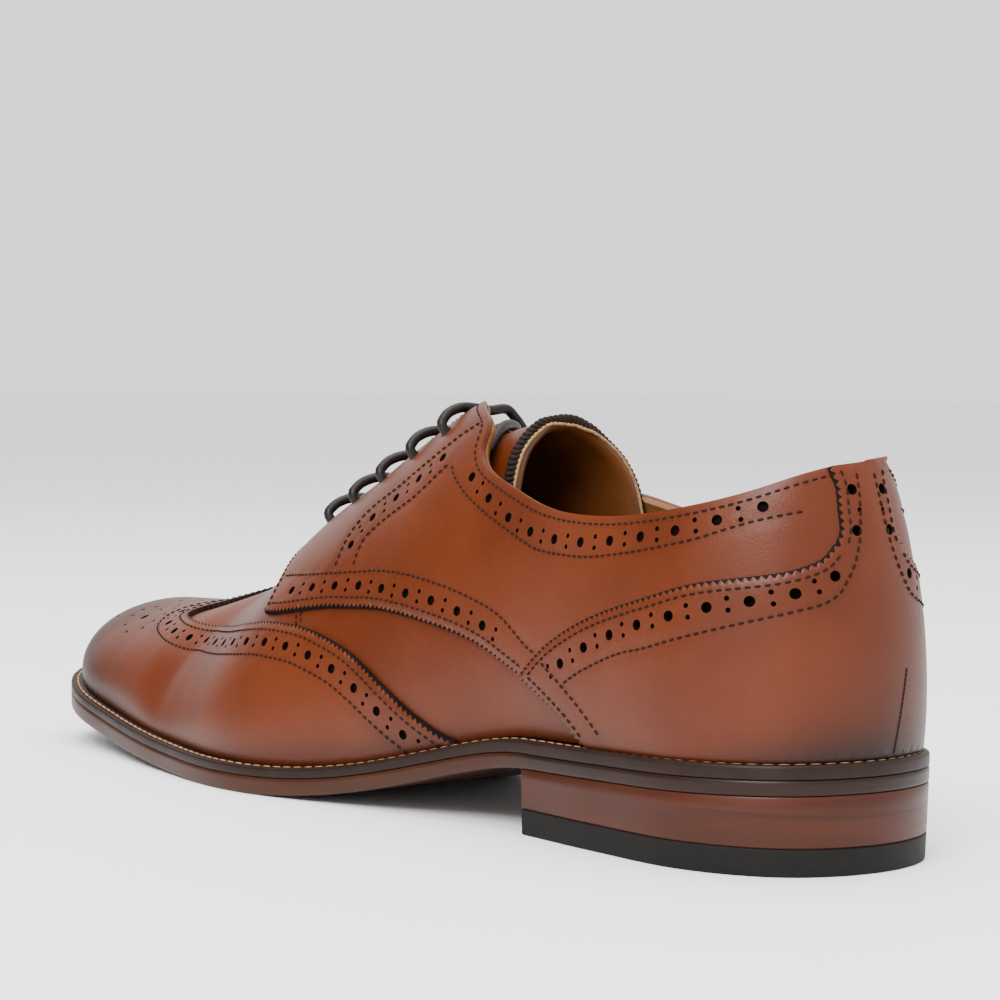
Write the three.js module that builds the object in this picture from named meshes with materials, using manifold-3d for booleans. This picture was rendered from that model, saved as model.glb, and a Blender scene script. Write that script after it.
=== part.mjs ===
// Laced derby shoe with a wing tip, left foot, in millimetres.
// X runs from heel to toe, Y to the outer side, Z up. The sole stands on Z = 0.
// The group is shifted at the end so that its origin is the middle of its footprint.
import * as THREE from 'three';
import { mergeVertices } from 'three/addons/utils/BufferGeometryUtils.js';
import Module from 'manifold-3d';

const wasm = await Module();
wasm.setup();

// Main sizes of the shoe
const shoeLength = 305;
const ballWidth = 98;
const instepHeight = 101;
const gap = 0.3;

// Sole
const heelLength = 83.5;
const heelHeightBack = 17.5;
const heelHeightFront = 15.3;
const heelTaper = 0.5;
const liftThickness = 6;
const breastHollow = 3.5;
const toeSpring = 13.2;
const treadStart = 0.587 * shoeLength;
const treadFlat = 7.9;
const archDip = 2;
const outsoleAtHeel = 3.5;
const outsoleAtBall = 4.4;
const weltAtHeel = 3.3;
const weltAtBall = 2.7;
const thinFrom = 80;
const thinTo = 170;
const weltShowsAtHeel = 3.8;
const weltShowsAtBall = 5;
const insoleThickness = 3;

// Upper
const wall = 2;
const overlay = 1.3;
const counterOverlay = 1.7;
const heelPole = 32;
const toePole = 28;
const bulgeHeight = 22;
const backStripWidth = 15;
const frontLead = 4;
const innerEarLag = 0.045;
const earRootUp = 0.42;
const innerCollarDip = 0.035;
const throatWidth = 10;
const throatWidthAtTop = 13;
const tongueThickness = 2.4;
const tongueTop = 104;
const tongueHeight = 96.3;
const tongueHalfWidth = 21.5;
const tongueSideUp = 0.56;
const tongueFrontUp = 0.36;
const tongueHidden = 8;
const tongueClear = 1.3;
const tongueSag = 17;
const tongueFreeing = 1.7;

// Lace
const laceDiameter = 2.6;
const eyeletPitch = 12.3;
const firstEyelet = 190;
const eyeletLag = 2;
const laceBars = 5;
const eyeletUp = 0.76;
const laceRise = 1;

// How finely the curved pieces are cut. The rings crowd towards the welt, where the wall swells.
const stationsRound = 64;
const rings = 11;
const ringCrowding = 1.4;

// Plan of the sole. turn: degrees from the heel's back to the toe. outer, inner: shares of the ball width.
const planRows = [
  { turn: 0, outer: 0, inner: 0 },
  { turn: 18, outer: 0.230, inner: 0.222 },
  { turn: 36, outer: 0.349, inner: 0.332 },
  { turn: 52, outer: 0.350, inner: 0.345 },
  { turn: 68, outer: 0.333, inner: 0.285 },
  { turn: 84, outer: 0.406, inner: 0.281 },
  { turn: 100, outer: 0.499, inner: 0.388 },
  { turn: 116, outer: 0.453, inner: 0.510 },
  { turn: 132, outer: 0.388, inner: 0.485 },
  { turn: 148, outer: 0.327, inner: 0.353 },
  { turn: 164, outer: 0.204, inner: 0.180 },
  { turn: 180, outer: 0.010, inner: -0.010 },
];

// Sections of the last. at: share of the length. crown: share of the instep height.
// fullness: 2 is round, more is boxy, less is a roof. bulge and lean: millimetres.
const lastRows = [
  { at: 0, crown: 1.095, fullness: 2.19, bulge: 0.4, lean: 0 },
  { at: 0.105, crown: 1.095, fullness: 2.57, bulge: 1.8, lean: 0 },
  { at: 0.197, crown: 1.086, fullness: 2.67, bulge: 2.6, lean: -0.2 },
  { at: 0.295, crown: 1.062, fullness: 2.48, bulge: 2.8, lean: -0.8 },
  { at: 0.361, crown: 1.037, fullness: 2.27, bulge: 2.8, lean: -1.3 },
  { at: 0.420, crown: 1.000, fullness: 2.06, bulge: 2.5, lean: -1.8 },
  { at: 0.492, crown: 0.903, fullness: 1.82, bulge: 2.1, lean: -2.9 },
  { at: 0.557, crown: 0.799, fullness: 1.67, bulge: 2.1, lean: -4.3 },
  { at: 0.623, crown: 0.703, fullness: 1.54, bulge: 2.5, lean: -5.3 },
  { at: 0.682, crown: 0.575, fullness: 1.39, bulge: 2.9, lean: -5.5 },
  { at: 0.741, crown: 0.463, fullness: 1.35, bulge: 2.9, lean: -5.5 },
  { at: 0.803, crown: 0.404, fullness: 1.76, bulge: 2.5, lean: -5.4 },
  { at: 0.859, crown: 0.388, fullness: 1.97, bulge: 2.3, lean: -5.2 },
  { at: 0.918, crown: 0.384, fullness: 1.98, bulge: 2.1, lean: -4.9 },
  { at: 1, crown: 0.384, fullness: 2.34, bulge: 1.9, lean: -4.9 },
];

// Seams on the last. along: share of the length. up: share of the way from the welt to the crown.
const collarSeam = [
  { along: 0.000, up: 0.503 },
  { along: 0.021, up: 0.463 },
  { along: 0.050, up: 0.418 },
  { along: 0.087, up: 0.379 },
  { along: 0.130, up: 0.353 },
  { along: 0.178, up: 0.339 },
  { along: 0.225, up: 0.348 },
  { along: 0.272, up: 0.384 },
  { along: 0.312, up: 0.448 },
  { along: 0.345, up: 0.525 },
  { along: 0.357, up: 0.600 },
  { along: 0.353, up: 0.650 },
  { along: 0.358, up: 0.705 },
  { along: 0.374, up: 0.760 },
  { along: 0.394, up: 0.830 },
  { along: 0.412, up: 0.930 },
];
const quarterSeam = [
  { along: 0.640, up: 0.580 },
  { along: 0.631, up: 0.550 },
  { along: 0.620, up: 0.492 },
  { along: 0.613, up: 0.426 },
  { along: 0.585, up: 0.408 },
  { along: 0.556, up: 0.393 },
  { along: 0.517, up: 0.368 },
  { along: 0.488, up: 0.342 },
  { along: 0.455, up: 0.308 },
  { along: 0.419, up: 0.261 },
  { along: 0.388, up: 0.218 },
  { along: 0.350, up: 0.167 },
  { along: 0.323, up: 0.129 },
  { along: 0.300, up: 0.096 },
  { along: 0.275, up: 0.068 },
];
const counterSeam = [
  { along: 0.206, up: 0.001 },
  { along: 0.225, up: 0.019 },
  { along: 0.244, up: 0.037 },
  { along: 0.275, up: 0.068 },
  { along: 0.255, up: 0.094 },
  { along: 0.238, up: 0.112 },
  { along: 0.213, up: 0.133 },
  { along: 0.181, up: 0.157 },
  { along: 0.132, up: 0.190 },
  { along: 0.090, up: 0.222 },
  { along: 0.056, up: 0.245 },
  { along: 0.028, up: 0.268 },
  { along: 0.012, up: 0.295 },
  { along: 0.006, up: 0.330 },
];
const wingSeam = [
  { along: 0.775, up: 1.000 },
  { along: 0.790, up: 0.950 },
  { along: 0.805, up: 0.890 },
  { along: 0.826, up: 0.830 },
  { along: 0.840, up: 0.800 },
  { along: 0.850, up: 0.760 },
  { along: 0.852, up: 0.715 },
  { along: 0.848, up: 0.670 },
  { along: 0.838, up: 0.630 },
  { along: 0.820, up: 0.590 },
  { along: 0.800, up: 0.555 },
  { along: 0.775, up: 0.530 },
  { along: 0.745, up: 0.510 },
  { along: 0.700, up: 0.463 },
  { along: 0.660, up: 0.425 },
  { along: 0.630, up: 0.401 },
  { along: 0.586, up: 0.376 },
  { along: 0.545, up: 0.340 },
  { along: 0.513, up: 0.298 },
  { along: 0.478, up: 0.239 },
  { along: 0.452, up: 0.182 },
  { along: 0.427, up: 0.123 },
  { along: 0.400, up: 0.063 },
  { along: 0.375, up: 0.019 },
  { along: 0.357, up: 0.001 },
];

// Smooth curve through table values, with slopes that never overshoot.
function smooth(at, values) {
  const step = values.slice(1).map((value, i) => (value - values[i]) / (at[i + 1] - at[i]));
  const slopes = values.map((_, i) => {
    if (i === 0) return step[0];
    if (i === values.length - 1) return step[i - 1];
    if (step[i - 1] * step[i] <= 0) return 0;
    return 2 * step[i - 1] * step[i] / (step[i - 1] + step[i]);
  });
  return (x) => hermite(at, values, slopes, x);
}

// Smooth curve through table values, with slopes taken across both neighbours.
function flowing(at, values) {
  const slopes = values.map((_, i) => {
    const before = Math.max(i - 1, 0);
    const after = Math.min(i + 1, values.length - 1);
    return (values[after] - values[before]) / (at[after] - at[before]);
  });
  return (x) => hermite(at, values, slopes, x);
}

function hermite(at, values, slopes, x) {
  const inside = Math.min(Math.max(x, at[0]), at[at.length - 1]);
  let i = 0;
  while (i < at.length - 2 && inside > at[i + 1]) i += 1;
  const width = at[i + 1] - at[i];
  const t = (inside - at[i]) / width;
  const rise = values[i + 1] - values[i];
  const a = slopes[i] * width - rise;
  const b = rise - slopes[i + 1] * width;
  return values[i] + t * rise + t * (1 - t) * (a * (1 - t) + b * t);
}

const mix = (a, b, share) => a + (b - a) * share;
const clamp01 = (value) => Math.min(Math.max(value, 0), 1);

// Plan of the sole: the whole way round, from the heel's back by the outer side, the toe and the inner side.
const turns = [
  ...planRows.map((row) => row.turn),
  ...planRows.slice(0, -1).reverse().map((row) => 360 - row.turn),
];
const sides = [
  ...planRows.map((row) => row.outer * ballWidth),
  ...planRows.slice(0, -1).reverse().map((row) => -row.inner * ballWidth),
];
const lap = [turns[turns.length - 2] - 360, ...turns, turns[1] + 360];
const lapSides = [sides[sides.length - 2], ...sides, sides[1]];
const planY = flowing(lap, lapSides);

function planPoint(turn, inset) {
  const angle = THREE.MathUtils.degToRad(turn);
  const x = shoeLength / 2 * (1 - Math.cos(angle));
  const y = planY(turn);
  const small = 0.5;
  const dx = shoeLength / 2 * (Math.cos(THREE.MathUtils.degToRad(turn - small))
    - Math.cos(THREE.MathUtils.degToRad(turn + small)));
  const dy = planY(turn + small) - planY(turn - small);
  const length = Math.hypot(dx, dy);
  const outward = new THREE.Vector2(-dy / length, dx / length);
  return { x: x - outward.x * inset, y: y - outward.y * inset, outward, station: x };
}

// Heights of the sole along its length
function underside(x) {
  const slope = (heelHeightFront - heelHeightBack) / heelLength;
  if (x < heelLength) return heelHeightBack + slope * x;
  if (x < treadStart) {
    const run = treadStart - heelLength;
    const t = (x - heelLength) / run;
    const fall = (2 * t ** 3 - 3 * t ** 2 + 1) * heelHeightFront + (t ** 3 - 2 * t ** 2 + t) * run * slope;
    return fall - archDip * 16 * (t * (1 - t)) ** 2;
  }
  const start = treadStart + treadFlat;
  return toeSpring * Math.max(0, (x - start) / (shoeLength - start)) ** 2;
}
const thinning = (x) => clamp01((x - thinFrom) / (thinTo - thinFrom));
const outsoleThickness = (x) => mix(outsoleAtHeel, outsoleAtBall, thinning(x));
const weltThickness = (x) => mix(weltAtHeel, weltAtBall, thinning(x));
const outsoleTop = (x) => underside(x) + outsoleThickness(x);
const weltTop = (x) => outsoleTop(x) + weltThickness(x);
const weltShows = (x) => mix(weltShowsAtHeel, weltShowsAtBall, thinning(x));

// The last
const lastAt = lastRows.map((row) => row.at);
const crownAt = smooth(lastAt, lastRows.map((row) => row.crown * instepHeight));
const fullnessAt = smooth(lastAt, lastRows.map((row) => row.fullness));
const bulgeAt = smooth(lastAt, lastRows.map((row) => row.bulge));
const leanAt = smooth(lastAt, lastRows.map((row) => row.lean));

// Point of the last's surface. turn: degrees round the plan. up: 0 at the welt, 1 at the crown.
function lastPoint(turn, up, drop = 0) {
  const foot = planPoint(turn, 0);
  const inset = weltShows(foot.station);
  const x = foot.x - foot.outward.x * inset;
  const y = foot.y - foot.outward.y * inset;
  const share = foot.station / shoeLength;
  const crownX = mix(heelPole, shoeLength - toePole, share);
  const crownShare = crownX / shoeLength;
  const power = 2 / fullnessAt(share);
  const inwards = Math.cos(up * Math.PI / 2) ** power;
  const upwards = Math.sin(up * Math.PI / 2) ** power;
  const base = weltTop(x) + gap;
  const height = (crownAt(crownShare) - drop - base) * upwards;
  const swell = bulgeAt(share) * height / bulgeHeight * Math.exp(1 - height / bulgeHeight) * inwards;
  return new THREE.Vector3(
    mix(crownX, x, inwards) + foot.outward.x * swell,
    mix(leanAt(crownShare), y, inwards) + foot.outward.y * swell,
    base + height,
  );
}

// The same point moved out by a distance square to the surface
function shellPoint(turn, up, out, drop = 0) {
  const point = lastPoint(turn, up, drop);
  const near = Math.min(Math.max(up, 0.004), 0.985);
  const normal = surfaceNormal(turn, near, drop);
  if (up > near) normal.add(surfaceNormal(360 - turn, near, drop)).normalize();
  const moved = point.clone().addScaledVector(normal, out);
  if (up === 0) moved.z = weltTop(moved.x) + gap;
  return moved;
}

function surfaceNormal(turn, up, drop) {
  const small = 0.001;
  const little = 0.06;
  const round = lastPoint(turn + little, up, drop).sub(lastPoint(turn - little, up, drop));
  const climb = lastPoint(turn, up + small, drop).sub(lastPoint(turn, up - small, drop));
  return climb.cross(round).normalize();
}

// Closed meshes
function geometryFrom(points, faces) {
  const geometry = new THREE.BufferGeometry();
  const flat = points.flatMap((point) => [point.x, point.y, point.z]);
  geometry.setAttribute('position', new THREE.Float32BufferAttribute(flat, 3));
  geometry.setIndex(faces.flat());
  return geometry;
}

function solidFrom(points, faces) {
  return toSolid(geometryFrom(points, faces));
}

function toSolid(geometry) {
  const bare = geometry.clone();
  bare.deleteAttribute('normal');
  bare.deleteAttribute('uv');
  const merged = mergeVertices(bare, 1e-4);
  const positions = merged.attributes.position.array;
  const index = merged.index.array;
  const kept = [];
  for (let i = 0; i < index.length; i += 3) {
    const [a, b, c] = index.slice(i, i + 3);
    if (a !== b && b !== c && c !== a) kept.push(a, b, c);
  }
  let volume = 0;
  for (let i = 0; i < kept.length; i += 3) {
    const [a, b, c] = kept.slice(i, i + 3).map((k) => new THREE.Vector3().fromArray(positions, 3 * k));
    volume += a.dot(b.cross(c));
  }
  if (volume < 0) {
    for (let i = 0; i < kept.length; i += 3) [kept[i], kept[i + 1]] = [kept[i + 1], kept[i]];
  }
  return new wasm.Manifold(new wasm.Mesh({
    numProp: 3,
    vertProperties: Float32Array.from(positions),
    triVerts: Uint32Array.from(kept),
  }));
}

function toGeometry(solid) {
  const mesh = solid.getMesh();
  const geometry = new THREE.BufferGeometry();
  geometry.setAttribute('position', new THREE.Float32BufferAttribute(mesh.vertProperties, 3));
  geometry.setIndex(Array.from(mesh.triVerts));
  return geometry;
}

// Turns of the stations: the k-th and the (stationsRound - k)-th lie at the same length
const stationTurn = (k) => 360 * k / stationsRound;

// Solid between two levels of the plan, in strips across the foot so that it follows the sole's curve.
// insetLow and insetHigh say how far each edge stands in from the plan at a length.
function plate(insetLow, insetHigh, low, high) {
  const half = stationsRound / 2;
  const points = [];
  for (let k = 0; k <= half; k += 1) {
    for (const [inset, level] of [[insetHigh, high], [insetLow, low]]) {
      for (const turn of [stationTurn(k), stationTurn(stationsRound - k)]) {
        const edge = planPoint(turn, inset(planPoint(turn, 0).station));
        points.push(new THREE.Vector3(edge.x, k % half === 0 ? planY(turn) : edge.y, level(edge.x)));
      }
    }
  }
  const faces = [];
  for (let k = 0; k < half; k += 1) {
    const a = 4 * k;
    const b = a + 4;
    faces.push([a, a + 1, b], [a + 1, b + 1, b]);
    faces.push([a + 2, b + 2, a + 3], [a + 3, b + 2, b + 3]);
    faces.push([a, b, a + 2], [b, b + 2, a + 2]);
    faces.push([a + 1, a + 3, b + 1], [b + 1, a + 3, b + 3]);
  }
  return solidFrom(points, faces);
}

// Solid inside the last's surface moved out by a distance, with its foot carried down by a depth
function dome(out, depth = 0) {
  const points = [];
  const faces = [];
  const ups = Array.from({ length: rings }, (_, j) => (j / rings) ** ringCrowding);
  const levels = depth > 0 ? rings + 1 : rings;
  const ring = (k, j) => (k % stationsRound) * levels + j;
  const crownStart = stationsRound * levels;
  const crown = (k) => crownStart + Math.min(k % stationsRound, stationsRound - (k % stationsRound));
  for (let k = 0; k < stationsRound; k += 1) {
    const column = ups.map((up) => shellPoint(stationTurn(k), up, out));
    if (depth > 0) {
      const foot = column[0].clone();
      foot.z -= depth;
      column.unshift(foot);
    }
    points.push(...column);
  }
  for (let k = 0; k <= stationsRound / 2; k += 1) points.push(shellPoint(stationTurn(k), 1, out));
  for (let k = 0; k < stationsRound; k += 1) {
    for (let j = 0; j < levels - 1; j += 1) {
      const [a, b, c, d] = [ring(k, j), ring(k + 1, j), ring(k + 1, j + 1), ring(k, j + 1)];
      faces.push([a, c, b], [a, d, c]);
    }
    faces.push([ring(k, levels - 1), crown(k + 1), ring(k + 1, levels - 1)]);
    faces.push([ring(k, levels - 1), crown(k), crown(k + 1)]);
  }
  for (let k = 0; k < stationsRound / 2; k += 1) {
    const [a, b] = [ring(k, 0), ring(k + 1, 0)];
    const [c, d] = [ring(stationsRound - k, 0), ring(stationsRound - k - 1, 0)];
    faces.push([a, b, c], [b, d, c]);
  }
  return solidFrom(points, faces);
}

// Shell between two distances from the last, standing on the welt
function shell(inside, outside) {
  return dome(outside).subtract(dome(inside, 4));
}

// Seam as points on the last
function seamPoints(rows, side = 1, out = overlay) {
  return rows.map(({ along, up }) => {
    const turn = THREE.MathUtils.radToDeg(Math.acos(1 - 2 * along));
    return shellPoint(side > 0 ? turn : 360 - turn, up, out);
  });
}

// Prism of a side view outline, right across the shoe or over one side only
function sidePrism(outline, fromY = -90, toY = 90) {
  const shape = new THREE.Shape(outline.map(([x, z]) => new THREE.Vector2(x, z)));
  const geometry = new THREE.ExtrudeGeometry(shape, { depth: toY - fromY, bevelEnabled: false });
  geometry.rotateX(Math.PI / 2);
  geometry.translate(0, toY, 0);
  return toSolid(geometry);
}

// Prism of a plan outline
function planPrism(outline, low, high) {
  const shape = new THREE.Shape(outline.map(([x, y]) => new THREE.Vector2(x, y)));
  const geometry = new THREE.ExtrudeGeometry(shape, { depth: high - low, bevelEnabled: false });
  geometry.translate(0, 0, low);
  return toSolid(geometry);
}

// Everything in front of a seam that climbs one side, crosses the crown and goes down the other.
// It is a curtain from a line under the foot through the seam, closed by a cone far in front.
function frontOfSeam(rows) {
  const reach = 2;
  const below = -5;
  const outerSeam = seamPoints(rows, 1);
  const innerSeam = seamPoints(rows, -1);
  const axis = outerSeam.map((point, k) => {
    const x = Math.min(outerSeam[0].x, point.x, innerSeam[k].x);
    return new THREE.Vector3(x, leanAt(x / shoeLength), below);
  });
  const stretch = (point, k) => axis[k].clone().lerp(point, reach);
  const outer = outerSeam.map(stretch);
  const inner = innerSeam.map(stretch);
  const last = axis.length - 1;
  axis.push(axis[last]);
  outer.push(outer[last].clone().setZ(4 * below));
  inner.push(inner[last].clone().setZ(4 * below));
  inner[0].copy(outer[0]);
  const count = axis.length;
  const tip = 3 * count;
  const points = [...axis, ...outer, ...inner, new THREE.Vector3(4 * shoeLength, 0, 4 * below)];
  const faces = [];
  for (let k = 0; k < count - 1; k += 1) {
    const [a, b] = [k, k + 1];
    const [c, d] = [count + k, count + k + 1];
    const [e, f] = [2 * count + k, 2 * count + k + 1];
    faces.push([a, b, d], [a, d, c], [a, f, b], [a, e, f], [c, d, tip], [e, tip, f]);
  }
  faces.push([count - 1, tip, 2 * count - 1], [count - 1, 3 * count - 1, tip]);
  return solidFrom(points, faces);
}

const sideView = (rows, side = 1) => seamPoints(rows, side).map((point) => [point.x, point.z]);

// Cutting forms shared by the upper and its overlays
const roof = 2 * instepHeight;
const earReach = (up) => innerEarLag * clamp01((up - earRootUp) / (1 - earRootUp) * 2);
const innerCollarSeam = collarSeam.map(({ along, up }) => ({
  along: along + earReach(up),
  up: up - innerCollarDip * clamp01(along / 0.25),
}));
const collarCuts = [1, -1].map((side) => {
  const rows = side > 0 ? collarSeam : innerCollarSeam;
  const line = sideView(rows, side);
  const outline = [[-60, line[0][1]], ...line, [line[line.length - 1][0], roof], [-60, roof]];
  return side > 0 ? sidePrism(outline, 0, 90) : sidePrism(outline, -90, 0);
});
const aboveCollar = collarCuts[0].add(collarCuts[1]);

const eyeletX = Array.from({ length: laceBars }, (_, k) => firstEyelet - k * eyeletPitch);
const lastBarX = eyeletX[laceBars - 1];
const throatFront = firstEyelet + 1.1 * eyeletPitch;
function throatSlot(extra) {
  const centre = (x) => leanAt(x / shoeLength);
  const front = throatFront + extra;
  const steps = 8;
  const edge = (side) => Array.from({ length: steps + 1 }, (_, k) => {
    const x = mix(lastBarX - 2.5 * eyeletPitch, front - throatWidth / 2, k / steps);
    const half = mix(throatWidthAtTop, throatWidth, k / steps) / 2 + extra;
    return [x, centre(x) + side * half];
  });
  const nose = [-0.7, 0, 0.7].map((share) => [
    front - throatWidth / 2 * (1 - Math.cos(share * Math.PI / 2)),
    centre(front) + share * throatWidth / 2,
  ]);
  return planPrism([...edge(-1), ...nose, ...edge(1).reverse()], 0, roof);
}

const counterLine = sideView(counterSeam);
function counterRegion(extra) {
  const outline = [
    [-60, counterLine[counterLine.length - 1][1] + extra],
    [-60, -20],
    [counterLine[0][0] + 2 * extra, -20],
    ...counterLine.map(([x, z]) => [x + 2 * extra, z + extra]),
  ];
  const half = backStripWidth / 2 + extra;
  const strip = planPrism([[-60, -half], [heelPole, -half], [heelPole, half], [-60, half]], 30, roof);
  return sidePrism(outline).add(strip);
}

const quarterLine = sideView(quarterSeam);
function quarterRegion(side) {
  const under = counterOverlay + gap;
  const tip = counterSeam.findIndex((row, k) => k > 0 && row.along < counterSeam[k - 1].along) - 1;
  const outline = [
    [throatFront + frontLead, roof],
    [throatFront + frontLead, crownAt(throatFront / shoeLength) - wall],
    ...quarterLine,
    ...counterLine.slice(tip + 1).map(([x, z]) => [x, z - under]),
    [-60, counterLine[counterLine.length - 1][1] - under],
    [-60, roof],
  ];
  return side > 0 ? sidePrism(outline, 0, 90) : sidePrism(outline, -90, 0);
}

// Sole
const none = () => 0;
const underUpper = (x) => weltShows(x) + wall;
const outsole = plate(none, none, underside, outsoleTop);
const weltWhole = plate(none, none, (x) => outsoleTop(x) + gap, weltTop);
const weltHole = plate(underUpper, underUpper, (x) => outsoleTop(x) - 1, (x) => weltTop(x) + 1);
const welt = weltWhole.subtract(weltHole);
const insoleInset = (x) => underUpper(x) + 2 * gap;
const insole = plate(insoleInset, insoleInset, (x) => outsoleTop(x) + gap, (x) => weltTop(x) + insoleThickness);

const breastSteps = 8;
const breast = Array.from({ length: breastSteps + 1 }, (_, k) => {
  const across = 2 * k / breastSteps - 1;
  return [heelLength - breastHollow * (1 - across ** 2), across * ballWidth / 2];
});
const heelRegion = planPrism([[-60, -ballWidth / 2], ...breast, [-60, ballWidth / 2]], -10, 2 * heelHeightBack);
const taperAt = (z) => heelTaper * (1 - z / heelHeightBack);
const stackTop = (x) => underside(x) - gap;
const stackLow = liftThickness + gap;
const heelStack = plate(() => taperAt(stackLow), none, () => stackLow, stackTop).intersect(heelRegion);
const topLift = plate(() => taperAt(0), () => taperAt(liftThickness), none, () => liftThickness)
  .intersect(heelRegion);

// Upper and its overlays
const overlayTop = gap + overlay;
const counterTop = gap + counterOverlay;
const throat = throatSlot(0);
const upper = shell(-wall, 0).subtract(aboveCollar).subtract(throat);
const overlaySkin = shell(gap, overlayTop).subtract(aboveCollar);
const wingCap = overlaySkin.intersect(frontOfSeam(wingSeam));
const aroundCounter = counterRegion(gap);
const [quarterOuter, quarterInner] = [1, -1].map((side) => overlaySkin
  .intersect(quarterRegion(side))
  .subtract(aroundCounter)
  .subtract(throat));
const heelCounter = shell(gap, counterTop).subtract(aboveCollar).intersect(counterRegion(0));

// Tongue: a sheet that follows the last under the facings and stands free at its top
// Top edge. ahead: share of the half width in front of the top. side: share of the half width.
// height: share of the tongue's height. across: -1 inner edge, 1 outer edge.
const tongueRimRows = [
  { across: -1.00, ahead: -0.19, side: -0.88, height: 0.720 },
  { across: -0.80, ahead: -0.15, side: -0.80, height: 0.812 },
  { across: -0.60, ahead: -0.12, side: -0.65, height: 0.876 },
  { across: -0.40, ahead: -0.09, side: -0.42, height: 0.928 },
  { across: -0.20, ahead: -0.06, side: -0.16, height: 0.973 },
  { across: 0.00, ahead: -0.02, side: 0.12, height: 0.997 },
  { across: 0.20, ahead: 0.04, side: 0.39, height: 0.990 },
  { across: 0.40, ahead: 0.08, side: 0.62, height: 0.956 },
  { across: 0.60, ahead: 0.11, side: 0.79, height: 0.902 },
  { across: 0.80, ahead: 0.12, side: 0.87, height: 0.830 },
  { across: 1.00, ahead: 0.12, side: 0.91, height: 0.740 },
];
const rimAcross = tongueRimRows.map((row) => row.across);
const rimAhead = smooth(rimAcross, tongueRimRows.map((row) => tongueTop + row.ahead * tongueHalfWidth));
const rimSide = smooth(rimAcross, tongueRimRows.map((row) => row.side * tongueHalfWidth));
const rimHeight = smooth(rimAcross, tongueRimRows.map((row) => row.height * tongueHeight));

const crownTurn = (crownX) => {
  const share = (crownX - heelPole) / (shoeLength - toePole - heelPole);
  return THREE.MathUtils.radToDeg(Math.acos(1 - 2 * share));
};

const tongueFront = throatFront + tongueHidden;
function tonguePoint(across, down) {
  const turn = crownTurn(mix(tongueTop, tongueFront, down));
  const up = 1 - Math.abs(across) * mix(tongueSideUp, tongueFrontUp, down);
  const inside = wall + gap + tongueClear + tongueSag * (1 - down) ** 4;
  const under = shellPoint(across > 0 ? turn : 360 - turn, up, -inside);
  const rim = new THREE.Vector3(rimAhead(across), rimSide(across), rimHeight(across));
  return rim.lerp(under, clamp01(down * tongueFreeing));
}

const tongueRows = 14;
const tongueColumns = 14;
function tongueSheet() {
  const width = tongueColumns + 1;
  const top = [];
  for (let i = 0; i <= tongueRows; i += 1) {
    for (let j = 0; j <= tongueColumns; j += 1) top.push(tonguePoint(2 * j / tongueColumns - 1, i / tongueRows));
  }
  const inside = top.map((point, k) => {
    const [i, j] = [Math.floor(k / width), k % width];
    const at = (row, column) => top[row * width + column];
    const along = at(Math.min(i + 1, tongueRows), j).clone().sub(at(Math.max(i - 1, 0), j));
    const sideways = at(i, Math.min(j + 1, tongueColumns)).clone().sub(at(i, Math.max(j - 1, 0)));
    return point.clone().addScaledVector(along.cross(sideways).normalize(), -tongueThickness);
  });
  const points = [...top, ...inside];
  const offset = top.length;
  const faces = [];
  const wallBetween = (a, b) => faces.push([a, b, b + offset], [a, b + offset, a + offset]);
  for (let i = 0; i < tongueRows; i += 1) {
    for (let j = 0; j < tongueColumns; j += 1) {
      const a = i * width + j;
      const [b, c, d] = [a + 1, a + width + 1, a + width];
      faces.push([a, c, b], [a, d, c]);
      faces.push([a + offset, b + offset, c + offset], [a + offset, c + offset, d + offset]);
    }
    wallBetween((i + 1) * width, i * width);
    wallBetween(i * width + tongueColumns, (i + 1) * width + tongueColumns);
  }
  for (let j = 0; j < tongueColumns; j += 1) {
    wallBetween(j, j + 1);
    wallBetween(tongueRows * width + j + 1, tongueRows * width + j);
  }
  return solidFrom(points, faces);
}

// Lace
const laceRadius = laceDiameter / 2;
function cordAlong(points, steps) {
  const path = new THREE.CatmullRomCurve3(points, false, 'centripetal');
  const sides = 8;
  const section = new THREE.Shape(Array.from({ length: sides }, (_, k) => {
    const angle = 2 * Math.PI * k / sides;
    return new THREE.Vector2(laceRadius * Math.cos(angle), laceRadius * Math.sin(angle));
  }));
  return toSolid(new THREE.ExtrudeGeometry(section, { steps, extrudePath: path, bevelEnabled: false }));
}

// A bar from the eyelet to the middle. up: share of the way to the crown. rise: share of the lace's rise.
const barRows = [
  { up: 0, rise: 0.25 },
  { up: 0.04, rise: 0.75 },
  { up: 0.30, rise: 1 },
  { up: 0.62, rise: 0.75 },
  { up: 1, rise: 0.5 },
];
function laceBar(crownX) {
  const turn = crownTurn(crownX);
  const point = (side, { up, rise }) => shellPoint(
    side > 0 ? turn : 360 - turn,
    mix(eyeletUp, 1, up),
    overlayTop + gap + rise * (laceRise + laceRadius),
  );
  const there = barRows.map((row) => point(1, row));
  const back = barRows.slice(0, -1).reverse().map((row) => point(-1, row));
  return cordAlong([...there, ...back], 11);
}

// Free ends: from under the inner facing, over the tongue, to under the outer facing
const endRoutes = [
  [[133.5, -7.0, 91.8], [131.0, -4.4, 93.0], [128.0, 0.0, 93.7], [125.2, 4.5, 93.2], [122.6, 8.8, 91.4], [120.8, 11.6, 89.6]],
  [[137.2, -7.0, 90.2], [134.9, -4.2, 91.4], [132.0, -0.2, 92.2], [129.3, 3.8, 91.8], [126.8, 7.6, 90.6], [125.0, 10.4, 89.0]],
];
const laceEnd = (route) => cordAlong(route.map((point) => new THREE.Vector3(...point)), 10);

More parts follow.
